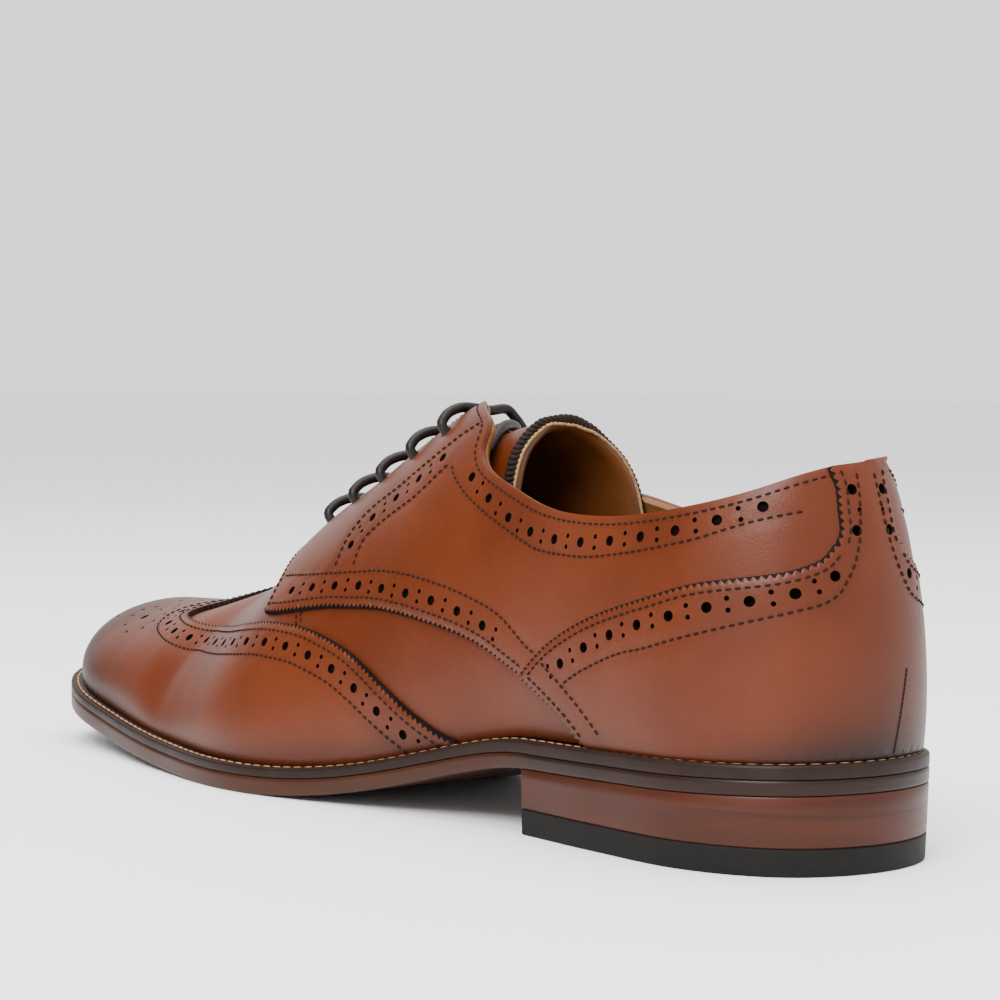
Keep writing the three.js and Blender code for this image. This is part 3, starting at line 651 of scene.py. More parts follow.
class Paint:
    """Builds one material's nodes."""

    def __init__(self, name: str) -> None:
        """Starts an empty material.

        Args:
            name: Name of the material.
        """
        self.material = bpy.data.materials.new(name)
        self.material.use_nodes = True
        self.tree = self.material.node_tree
        self.tree.nodes.clear()
        self.surface = self.tree.nodes.new("ShaderNodeBsdfPrincipled")
        output = self.tree.nodes.new("ShaderNodeOutputMaterial")
        self.tree.links.new(self.surface.outputs[0], output.inputs[0])

    def node(self, kind: str, settings: dict, values: dict, output: object = 0) -> Link:
        """Adds a node.

        Args:
            kind: The node's type.
            settings: Its settings, set first.
            values: Values or links of its sockets, by place or name.
            output: The socket that is handed back, by place or name.

        Returns:
            The output socket.
        """
        made = self.tree.nodes.new(kind)
        for key, value in settings.items():
            setattr(made, key, value)
        for key, value in values.items():
            if isinstance(value, Link):
                self.tree.links.new(value.socket, made.inputs[key])
            else:
                made.inputs[key].default_value = value
        return Link(self, made.outputs[output])

    def place(self) -> Link:
        """Object coordinates."""
        return self.node("ShaderNodeTexCoord", {}, {}, "Object")

    def measure(self, name: str) -> Link:
        """A number kept on the mesh."""
        return self.node("ShaderNodeAttribute", {"attribute_name": name}, {}, "Fac")

    def stretched(self, scale: tuple[float, float, float]) -> Link:
        """Object coordinates scaled along each axis."""
        return self.node("ShaderNodeMapping", {}, {"Vector": self.place(), "Scale": scale})

    def noise(self, scale: float, detail: float = 3.0, where: Link = None) -> Link:
        """Noise from 0 to 1."""
        vector = where or self.place()
        sockets = {"Vector": vector, "Scale": scale, "Detail": detail}
        return self.node("ShaderNodeTexNoise", {}, sockets, "Fac")

    def cells(self, scale: float, where: Link = None) -> Link:
        """Distance to the middle of the nearest cell."""
        vector = where or self.place()
        return self.node("ShaderNodeTexVoronoi", {}, {"Vector": vector, "Scale": scale}, "Distance")

    def colours(self, share: object, first: object, second: object) -> Link:
        """Blend of two colours.

        Args:
            share: Share of the second.
            first: The first colour.
            second: The second colour.

        Returns:
            The colour.
        """
        values = {"Factor": share, 6: rgba(first), 7: rgba(second)}
        return self.node("ShaderNodeMix", {"data_type": "RGBA"}, values, 2)

    def bump(self, height: Link, strength: float, depth: float) -> None:
        """Relief on the surface.

        Args:
            height: The relief.
            strength: How strongly it shows.
            depth: Its depth in metres.
        """
        made = self.node("ShaderNodeBump", {}, {"Strength": strength, "Distance": depth, "Height": height})
        self.tree.links.new(made.socket, self.surface.inputs["Normal"])

    def set(self, name: str, value: object) -> None:
        """Sets or links a socket of the surface."""
        if isinstance(value, Link):
            self.tree.links.new(value.socket, self.surface.inputs[name])
        else:
            self.surface.inputs[name].default_value = value


def rgba(colour: object) -> object:
    """A colour with its alpha, or a link as it is."""
    return colour if isinstance(colour, Link) else (*colour[:3], 1.0)


@dataclass(frozen=True)
class Leather:
    """Polished calf, darkened by a number kept on the mesh: its burnish, and painted shade along the seams.
    """

    name: str
    light: tuple[float, float, float]
    body: tuple[float, float, float]
    dark: tuple[float, float, float]
    roughness: float = 0.42
    coat: float = 0.06
    grain: float = 1.0

    def make(self) -> bpy.types.Material:
        """Builds the material."""
        paint = Paint(self.name)
        burnish_and_shade = paint.measure("burnish_and_shade")
        cloud = paint.noise(26.0, 4.0)
        streak = paint.noise(9.0, 2.0)
        colour = paint.colours(cloud.ramp(0.32, 0.72), self.body, self.light)
        # Burnish and painted seam shade from the mesh, with some noise, darken the colour.
        depth = (burnish_and_shade + (streak - 0.5) * 0.25 + (cloud - 0.5) * 0.12).clamp()
        colour = paint.colours(depth.ramp(0.05, 1.0), colour, self.dark)
        pores = paint.cells(1150.0)
        fine = paint.noise(1500.0, 2.0)
        colour = paint.colours((pores.ramp(0.25, 0.0) * 0.10), colour, self.dark)
        paint.set("Base Color", colour)
        paint.set("Roughness", self.roughness + (fine - 0.5) * 0.14 + (cloud - 0.5) * 0.10 + burnish_and_shade * 0.03)
        paint.set("Specular IOR Level", 0.2)
        paint.set("Coat Weight", self.coat)
        paint.set("Coat Roughness", 0.3)
        wrinkle = paint.noise(160.0, 3.0)
        height = pores.ramp(0.0, 0.55) * 0.6 + fine * 0.5 + wrinkle * 0.5
        paint.bump(height, 0.35 * self.grain, 0.00012)
        return paint.material


@dataclass(frozen=True)
class Plain:
    """Matte or satin finish of one colour with a fine mottle."""

    name: str
    first: tuple[float, float, float]
    second: tuple[float, float, float]
    roughness: float = 0.6
    scale: float = 220.0
    relief: float = 0.3
    coat: float = 0.0
    gloss: float = 0.3

    def make(self) -> bpy.types.Material:
        """Builds the material."""
        paint = Paint(self.name)
        speckle = paint.noise(self.scale, 4.0)
        paint.set("Base Color", paint.colours(speckle.ramp(0.3, 0.7), self.first, self.second))
        paint.set("Roughness", self.roughness + (speckle - 0.5) * 0.2)
        paint.set("Specular IOR Level", self.gloss)
        paint.set("Coat Weight", self.coat)
        paint.bump(paint.noise(self.scale * 6, 3.0), self.relief, 0.0001)
        return paint.material


@dataclass(frozen=True)
class Layered:
    """Edge of stacked leather: fine lines that run round it."""

    name: str
    first: tuple[float, float, float]
    second: tuple[float, float, float]
    line: tuple[float, float, float]
    roughness: float = 0.42
    layers: float = 330.0
    coat: float = 0.05

    def make(self) -> bpy.types.Material:
        """Builds the material."""
        paint = Paint(self.name)
        flow = paint.noise(90.0, 4.0, paint.stretched((0.25, 0.25, 3.0)))
        rows = paint.noise(self.layers, 2.0, paint.stretched((0.03, 0.03, 1.0)))
        colour = paint.colours(flow.ramp(0.3, 0.7), self.first, self.second)
        colour = paint.colours(rows.ramp(0.60, 0.72) * 0.55, colour, self.line)
        colour = paint.colours(paint.measure("burnish_and_shade"), colour, self.line)
        paint.set("Base Color", colour)
        paint.set("Roughness", self.roughness + (flow - 0.5) * 0.2)
        paint.set("Specular IOR Level", 0.18)
        paint.set("Coat Weight", self.coat)
        paint.bump(rows + flow * 0.5, 0.25, 0.0001)
        return paint.material


class Finish(Enum):
    """The shoe's finishes."""

    UPPER = Leather("cognac calf", (0.098, 0.0185, 0.0036), (0.070, 0.0120, 0.0020), (0.0060, 0.0018, 0.0012))
    LINING = Plain("tan lining", (0.135, 0.052, 0.016), (0.10, 0.036, 0.011), 0.55, 120.0, 0.2, 0.0, 0.2)
    TONGUE_LINING = Plain(
        "tongue lining", (0.105, 0.034, 0.0080), (0.070, 0.021, 0.0048), 0.4, 60.0, 0.2, 0.05, 0.3,
    )
    # Dark dyed cut edge; on the walls that slope out under the teeth it is also painted shade.
    CUT_EDGE_AND_SHADE = Plain(
        "cut edge and painted shade", (0.0050, 0.0018, 0.0012), (0.003, 0.0012, 0.0009), 0.7, 400.0, 0.3, 0.0, 0.1,
    )
    RAW_EDGE = Plain("pale cut edge", (0.22, 0.088, 0.026), (0.14, 0.052, 0.015), 0.7, 500.0, 0.3, 0.0, 0.1)
    # Painted shade at the bottom of the punched holes.
    HOLE_SHADE = Plain("punched hole", (0.004, 0.002, 0.0015), (0.006, 0.003, 0.002), 0.95, 500.0, 0.2, 0.0, 0.05)
    THREAD = Plain(
        "dark thread", (0.0075, 0.0022, 0.0013), (0.011, 0.0032, 0.0018), 0.65, 900.0, 0.3, 0.0, 0.12,
    )
    WELT_THREAD = Plain("welt thread", (0.36, 0.22, 0.10), (0.24, 0.13, 0.055), 0.65, 900.0, 0.3, 0.0, 0.1)
    WELT = Plain("dark welt", (0.0115, 0.0048, 0.0030), (0.016, 0.0068, 0.0042), 0.5, 160.0, 0.35, 0.03, 0.15)
    OUTSOLE = Layered(
        "outsole edge", (0.030, 0.0085, 0.0035), (0.040, 0.012, 0.0045), (0.009, 0.0035, 0.002), 0.45,
    )
    STACK = Layered(
        "stacked heel", (0.036, 0.0078, 0.0030), (0.050, 0.0115, 0.0045), (0.012, 0.0034, 0.0018), 0.42,
    )
    LIFT = Plain("rubber lift", (0.0055, 0.0048, 0.0042), (0.008, 0.007, 0.006), 0.65, 300.0, 0.3, 0.0, 0.15)
    LACE = Plain("waxed lace", (0.0045, 0.0030, 0.0024), (0.0085, 0.0055, 0.0042), 0.5, 500.0, 0.3, 0.05, 0.2)
    RIM = Plain("tongue rim", (0.0075, 0.0034, 0.0022), (0.013, 0.006, 0.0038), 0.65, 500.0, 0.4, 0.0, 0.12)

    def material(self) -> bpy.types.Material:
        """The material, built once."""
        found = bpy.data.materials.get(self.value.name)
        return found or self.value.make()


def in_loop(points: Array, loop: Array) -> Array:
    """Whether each flat point lies inside a loop.

    Args:
        points: Rows of x and y.
        loop: The loop's corners.

    Returns:
        One truth value for each point.
    """
    inside = np.zeros(len(points), bool)
    x, y = points.T
    for (x1, y1), (x2, y2) in zip(loop, np.roll(loop, -1, 0)):
        if y1 == y2:
            continue
        hit = ((y1 > y) != (y2 > y)) & (x < (x2 - x1) * (y - y1) / (y2 - y1) + x1)
        inside ^= hit
    return inside


class Maker:
    """Turns points in millimetres into pieces of the shoe."""

    def __init__(self, sole: Sole) -> None:
        """Keeps the middle of the footprint, where the origin is."""
        self.middle = sole.middle

    def place(self, points: Array) -> Array:
        """Points in metres from the middle of the footprint."""
        return (np.asarray(points, float) - self.middle) / 1000

    def piece(
        self, name: str, points: Array, faces: list, finishes: list, marks: Array = None, burnish_and_shade: Array = None,
        sharp: float = 40.0,
    ) -> bpy.types.Object:
        """Makes a mesh object.

        Args:
            name: Name of the piece.
            points: Its points, in millimetres.
            faces: Its faces.
            finishes: Its finishes.
            marks: Which finish each face has.
            burnish_and_shade: How dark the burnish and the painted shade are at each point.
            sharp: Angle in degrees past which an edge stays sharp.

        Returns:
            The object.
        """
        mesh = bpy.data.meshes.new(name)
        mesh.from_pydata(self.place(points).tolist(), [], [list(map(int, f)) for f in faces])
        for finish in finishes:
            mesh.materials.append(finish.material())
        if marks is not None:
            mesh.polygons.foreach_set("material_index", np.asarray(marks, np.int32))
        layer = mesh.attributes.new("burnish_and_shade", "FLOAT", "POINT")
        values = np.zeros(len(points)) if burnish_and_shade is None else burnish_and_shade
        layer.data.foreach_set("value", np.asarray(values, np.float32))
        mesh.update()
        mesh.validate()
        made = bpy.data.objects.new(name, mesh)
        bpy.context.collection.objects.link(made)
        bpy.ops.object.select_all(action="DESELECT")
        made.select_set(True)
        bpy.context.view_layer.objects.active = made
        bpy.ops.object.shade_smooth_by_angle(angle=math.radians(sharp))
        return made

    def tube(self, path: Array, radius: float, sides: int = 12) -> tuple[Array, list]:
        """Round tube along a path with rounded ends.

        Args:
            path: Points of the middle line.
            radius: Radius.
            sides: Corners of its section.

        Returns:
            Points and faces.
        """
        ahead = unit(np.gradient(path, axis=0))
        side = unit(np.cross(ahead[0], [0.13, 0.27, 0.95]))
        rings = []
        for p, t in zip(path, ahead):
            side = unit(side - t * (side @ t))
            other = np.cross(t, side)
            angle = np.linspace(0, 2 * np.pi, sides, endpoint=False)
            rings.append(p + radius * (np.cos(angle)[:, None] * side + np.sin(angle)[:, None] * other))
        start, end = path[:1] - ahead[:1] * radius * 0.5, path[-1:] + ahead[-1:] * radius * 0.5
        points = np.vstack([start, *rings, end])
        faces = []
        count = len(path)
        for k in range(sides):
            n = (k + 1) % sides
            faces.append((0, 1 + n, 1 + k))
            for i in range(count - 1):
                a, b = 1 + i * sides + k, 1 + i * sides + n
                faces.append((a, b, b + sides, a + sides))
            tail = 1 + (count - 1) * sides
            faces.append((tail + k, tail + n, tail + sides))
        return points, faces


class Stitching:
    """Rows of short thread lying in the leather."""

    def __init__(self, maker: Maker) -> None:
        """Starts with no stitches."""
        self.maker = maker
        self.places: list[tuple] = []

    def run(
        self, line: Curve, out: float, length: float = 1.35, pitch: float = 2.0, width: float = 0.5,
        within: Curve = None,
    ) -> None:
        """Adds a row.

        Args:
            line: Where it runs.
            out: Height of the leather's face.
            length: Length of a stitch.
            pitch: Distance from one stitch to the next.
            width: Width of the thread.
            within: Edge of the panel that the row keeps to.
        """
        row = line.spaced(pitch)
        ahead, normal, across = row.frames()
        points = row.points(out)
        kept = np.ones(len(points), bool)
        kept[0] = kept[-1] = False
        if within is not None:
            kept &= in_loop(row.last.chart(row.turn, row.up), row.last.chart(within.turn, within.up))
            rim = row.last.point(within.turn, within.up)
            kept &= np.array([np.linalg.norm(rim - p, axis=1).min() for p in row.points()]) > 1.0
        for p, t, n, b in zip(points[kept], ahead[kept], normal[kept], across[kept]):
            self.places.append((p, t, n, b, length / 2, width / 2))

    def build(self, name: str, finish: Finish) -> bpy.types.Object:
        """Makes all the rows one piece.

        Args:
            name: Name of the piece.
            finish: The thread.

        Returns:
            The object.
        """
        sides, rows = 6, ((-1.0, 0.25), (-0.7, 0.9), (0.0, 1.0), (0.7, 0.9), (1.0, 0.25))
        points, faces = [], []
        for p, t, n, b, half, radius in self.places:
            start = len(points)
            for along, fat in rows:
                lift = 0.10 * (1 - along * along) - 0.04
                for k in range(sides):
                    angle = 2 * math.pi * k / sides
                    q = b * math.cos(angle) * fat * radius + n * (math.sin(angle) * fat * radius * 0.8 + lift)
                    points.append(p + t * along * half + q)
            for i in range(len(rows) - 1):
                for k in range(sides):
                    m = (k + 1) % sides
                    a = start + i * sides
                    faces.append((a + k, a + sides + k, a + sides + m, a + m))
            faces.append(tuple(start + k for k in range(sides)))
            end = start + (len(rows) - 1) * sides
            faces.append(tuple(end + k for k in reversed(range(sides))))
        return self.maker.piece(name, np.array(points), faces, [finish], sharp=60)


@dataclass
class Punch:
    """A punched hole: its place on the last and its radius."""

    turn: float
    up: float
    radius: float


@dataclass
class Panel:
    """A sheet of leather on the last, with its cut edge and punched holes."""

    name: str
    last: Last
    edge: Curve
    punches: list[Punch] = field(default_factory=list)
    openings: list[Curve] = field(default_factory=list)
    top: float = 1.6
    low: float = 0.15
    roll: float = 0.3
    lip: float = 9.0
    step: float = 1.7
    finishes: tuple = (Finish.UPPER, Finish.CUT_EDGE_AND_SHADE, Finish.CUT_EDGE_AND_SHADE)
    grooves: list[Array] = field(default_factory=list)
    insets: list[Curve] = field(default_factory=list)

    def hole_loops(self) -> list[tuple[Array, Array]]:
        """Places round each punched hole."""
        loops = []
        if not self.punches:
            return loops
        turn = np.array([p.turn for p in self.punches])
        up = np.array([p.up for p in self.punches])
        centre = self.last.point(turn, up)
        normal = self.last.normal(turn, up)
        first = unit(np.cross(normal, np.array([0.3, 0.1, 1.0])))
        second = np.cross(normal, first)
        for i, punch in enumerate(self.punches):
            sides = 16 if punch.radius > 0.9 else 8
            angle = np.linspace(0, 2 * np.pi, sides, endpoint=False)
            ring = centre[i] + punch.radius * (
                np.cos(angle)[:, None] * first[i] + np.sin(angle)[:, None] * second[i]
            )
            loops.append(self.last.locate(ring))
        return loops

    def lattice(self) -> tuple[Array, Array]:
        """Places spread evenly over the whole last."""
        turns, ups = [], []
        fine = np.linspace(0, 360, 1441)
        column = self.last.girth[40, ::-1]
        levels = np.interp(np.arange(self.step, column[-1], self.step), column, self.last.table_up[::-1])
        for up in levels:
            points = self.last.point(fine, np.full(len(fine), up))
            reach = np.concatenate([[0], np.cumsum(np.linalg.norm(np.diff(points, axis=0), axis=1))])
            marks = np.arange(0, reach[-1] - self.step / 2, self.step)
            turns.append(np.interp(marks, reach, fine))
            ups.append(np.full(len(marks), up))
        crown = np.degrees(np.arccos(1 - 2 * np.linspace(0, 1, int(CROWN_RUN / self.step))))
        return np.concatenate([*turns, crown]), np.concatenate([*ups, np.ones(len(crown))])

    def build(self, maker: Maker) -> bpy.types.Object:
        """Makes the panel.

        Args:
            maker: The maker.

        Returns:
            The object.
        """
        last = self.last
        holes = self.hole_loops()
        rims = [(self.edge.turn, self.edge.up), *[(o.turn, o.up) for o in self.openings], *holes]
        charts = [last.chart(t, u) for t, u in rims]
        inner = self.insets
        grid_turn, grid_up = self.lattice()
        grid = last.chart(grid_turn, grid_up)
        keep = in_loop(grid, charts[0])
        for chart in charts[1 : 1 + len(self.openings)]:
            keep[keep] &= ~in_loop(grid[keep], chart)
        grid_turn, grid_up, grid = grid_turn[keep], grid_up[keep], grid[keep]
        grid_points = last.point(grid_turn, grid_up)
        solid_lines = [last.point(t, u) for t, u in rims] + [last.point(c.turn, c.up) for c in inner]
        near = kdtree.KDTree(sum(map(len, solid_lines)))
        for i, p in enumerate(np.vstack(solid_lines)):
            near.insert(p, i)
        near.balance()
        clear = np.array([near.find(p)[2] for p in grid_points]) > 0.55 * self.step
        if self.punches:
            hole_tree = kdtree.KDTree(len(self.punches))
            for i, punch in enumerate(self.punches):
                hole_tree.insert(last.point(np.array([punch.turn]), np.array([punch.up]))[0], i)
            hole_tree.balance()
            for i, p in enumerate(grid_points):
                _, k, distance = hole_tree.find(p)
                if distance < self.punches[k].radius + 0.4:
                    clear[i] = False
        grid_turn, grid_up = grid_turn[clear], grid_up[clear]
        turn = np.concatenate([t for t, _ in rims] + [c.turn for c in inner] + [grid_turn])
        up = np.concatenate([u for _, u in rims] + [c.up for c in inner] + [grid_up])
        kind = np.concatenate(
            [np.full(len(t), i) for i, (t, _) in enumerate(rims)]
            + [np.full(len(c.turn), -2) for c in inner]
            + [np.full(len(grid_turn), -1)]
        )
        chart = last.chart(turn, up)
        edges = []
        start = 0
        for t, _ in rims:
            n = len(t)
            edges += [(start + i, start + (i + 1) % n) for i in range(n)]
            start += n
        made = delaunay_2d_cdt([Vector(p) for p in chart], edges, [], 1, 1e-6)
        origin = [o[0] if o else -1 for o in made[3]]
        faces = []
        hole_from = 1 + len(self.openings)
        for face in made[2]:
            corners = [origin[i] for i in face]
            if min(corners) < 0:
                continue
            kinds = {int(kind[c]) for c in corners}
            if len(kinds) == 1 and next(iter(kinds)) >= hole_from:
                continue
            faces.append(corners)
        centres = np.array([chart[f].mean(0) for f in faces])
        good = in_loop(centres, charts[0])
        for opening in charts[1:hole_from]:
            good &= ~in_loop(centres, opening)
        faces = [f for f, ok in zip(faces, good) if ok]
        return self.finish(maker, turn, up, kind, faces, rims)

    def finish(
        self, maker: Maker, turn: Array, up: Array, kind: Array, faces: list, rims: list
    ) -> bpy.types.Object:
        """Gives the flat cut its thickness, its rolled edges, its burnish and its painted seam shade.

        Args:
            maker: The maker.
            turn: Turns of the places.
            up: Heights of the places.
            kind: Which rim each place is on.
            faces: Faces between the places.
            rims: The rims' places.

        Returns:
            The object.
        """
        last = self.last
        out = np.full(len(turn), self.top)
        out[(kind >= 0) & (kind < 1 + len(self.openings))] -= self.roll
        out[kind >= 1 + len(self.openings)] -= self.roll * 0.35
        base = last.point(turn, up)
        normal = last.normal(turn, up)
        seam = np.full(len(turn), 99.0)
        if self.grooves:
            tree = kdtree.KDTree(sum(map(len, self.grooves)))
            for i, p in enumerate(np.vstack(self.grooves)):
                tree.insert(p, i)
            tree.balance()
            seam = np.array([tree.find(p)[2] for p in base])
            out -= 0.22 * np.exp(-((seam / 0.9) ** 2)) * (kind < 0)
        top = base + normal * out[:, None]
        low = np.full(len(turn), self.low)
        low[kind == 1] = np.maximum(self.low, self.top - self.lip)
        bottom = base + normal * low[:, None]
        bottom[: len(self.edge.turn)] += self.edge.skirt
        a, b, c = (np.array(faces)[:, k] for k in range(3))
        facing = np.einsum("ij,ij->i", np.cross(top[b] - top[a], top[c] - top[a]), normal[a])
        upper = [f if s > 0 else f[::-1] for f, s in zip(faces, facing)]
        n = len(turn)
        under = [tuple(i + n for i in f[::-1]) for f in upper]
        walls, wall_marks = [], []
        start = 0
        directed = {(f[i], f[(i + 1) % 3]) for f in upper for i in range(3)}
        for t, _ in rims:
            m = len(t)
            for i in range(m):
                p, q = start + i, start + (i + 1) % m
                # Hole, opening and toothed walls take the dark finish; where a wall slopes out under the
                # teeth it is painted shade as well as dyed edge.
                dyed_edge_and_shade = kind[p] != 0 or np.abs(self.edge.skirt[i]).max() > 0.05
                wall_marks += [int(dyed_edge_and_shade)] if (p, q) in directed or (q, p) in directed else []
                if (p, q) in directed:
                    walls.append((q, p, p + n, q + n))
                elif (q, p) in directed:
                    walls.append((p, q, q + n, p + n))
            start += m
        marks = [0] * len(upper) + [2] * len(under) + wall_marks
        # Burnish, and painted shade along the seams, kept on the mesh.
        burnish_and_shade = BurnishAndShade.at(top, seam)
        burnish_and_shade = np.concatenate([burnish_and_shade, burnish_and_shade])
        every = [tuple(f) for f in upper] + under + walls
        return maker.piece(
            self.name, np.vstack([top, bottom]), every, list(self.finishes), marks, burnish_and_shade, 38
        )


class BurnishAndShade:
    """Burnish at the toe and heel, darkening towards the welt, and painted shade along the seams."""

    @staticmethod
    def at(points: Array, seam: Array) -> Array:
        """Darkness at points of the upper.

        Args:
            points: Points in millimetres from the heel's back.
            seam: Distance of each point to the nearest seam.

        Returns:
            0 where the leather is plain, 1 where it is darkest.
        """
        x, y, z = points.T
        toe = np.clip((x - 232) / 64, 0, 1) ** 1.5 * 0.78
        heel = np.clip((30 - x) / 34, 0, 1) ** 1.5 * np.clip((66 - z) / 40, 0, 1) * 0.72
        # Darker towards the welt.
        low = np.clip((14 - (z - np.interp(x, [0, 80, 150, 200, 305], [24, 22, 14, 8, 22]))) / 15, 0, 1) ** 2
        # Painted shade along the seams, the stitch rows and under the overlays' edges.
        edge = np.exp(-((seam / 2.4) ** 2)) * 0.16
        return np.clip(toe + heel + low * 0.42 + edge, 0, 1)


class Gimp:
    """Saw-toothed edge of a panel."""

    def __init__(self, pitch: float = 1.7, depth: float = 1.0) -> None:
        """Keeps the size of the teeth."""
        self.pitch = pitch
        self.depth = depth

    def cut(self, line: Curve, left: float, rise: float = 0.0) -> Curve:
        """Cuts teeth along a line.

        Args:
            line: The line.
            left: 1 where the teeth go to its left, -1 to its right.
            rise: How much higher the lower rim lies.

        Returns:
            The toothed line.
        """
        fine = line.spaced(self.pitch / 4)
        wave = np.array([0.0, 0.55, 1.0, 0.55])[np.arange(len(fine.turn)) % 4]
        wave[0], wave[-1] = 0, 0
        toothed = fine.shifted((wave - 0.5) * self.depth * left)
        _, out, across = fine.frames()
        # The wall's lower rim stands out past the teeth, so its dark finish fills the gaps between them:
        # partly dyed edge, partly painted shade.
        toothed.skirt = across * (((1 - wave) * self.depth + 0.15) * left)[:, None] + out * rise
        return toothed


@dataclass
class Pattern:
    """Seams of the upper on one side of the shoe."""

    last: Last
    side: Side

    def line(self, rows: tuple, step: float = 0.9) -> Curve:
        """Line through a table's rows on this side."""
        return Curve.through(self.last, rows, self.side, step)

    def collar(self) -> Curve:
        """Top edge of the ankle opening, as far as the ear."""
        rows = np.array(COLLAR, float)
        if self.side is Side.INNER:
            rows[:, 0] += 0.045 * np.clip((rows[:, 1] - 0.42) / 0.58 * 2, 0, 1)
            rows[:, 1] -= 0.035 * np.clip(np.array(COLLAR)[:, 0] / 0.25, 0, 1)
        return Curve.through(self.last, tuple(map(tuple, rows)), self.side, 0.6)

    def slot(self, start: float) -> Curve:
        """Edge of the throat, from the ear to the middle of its front end."""
        nose, front = 5.0, THROAT_FRONT
        x = np.linspace(start, front - nose, 60)
        aside = mix(6.5, 5.0, (x - 110) / (front - 110))
        angle = np.linspace(0, np.pi / 2, 12)[1:]
        x = np.concatenate([x, front - nose + nose * np.sin(angle)])
        aside = np.concatenate([aside, nose * np.cos(angle)])
        share = x / self.last.sole.length
        points = np.stack([x, self.last.lean(share) + self.side.value * aside, self.last.crown(share)], -1)
        return Curve(self.last, *self.last.locate(points), 0.6)

    def top_edge(self) -> Curve:
        """Collar and throat edge in one, with the ear rounded."""
        collar = self.collar()
        points = collar.points()
        aside = np.abs(points[:, 1] - self.last.lean(points[:, 0] / self.last.sole.length))
        narrow = aside < mix(6.5, 5.0, (points[:, 0] - 110) / 93.5)
        narrow &= points[:, 0] > 100
        end = int(np.argmax(narrow)) if narrow.any() else len(points)
        part = collar.cut(0, (end - 1) / (len(collar.turn) - 1))
        return Curve.joined(self.last, [part, self.slot(points[end - 1, 0] + 1.5)], 0.8, False, 3.2)

    def front(self) -> Curve:
        """Front edge of the quarter from the crown down to its corner."""
        return self.line(QUARTER_FRONT)


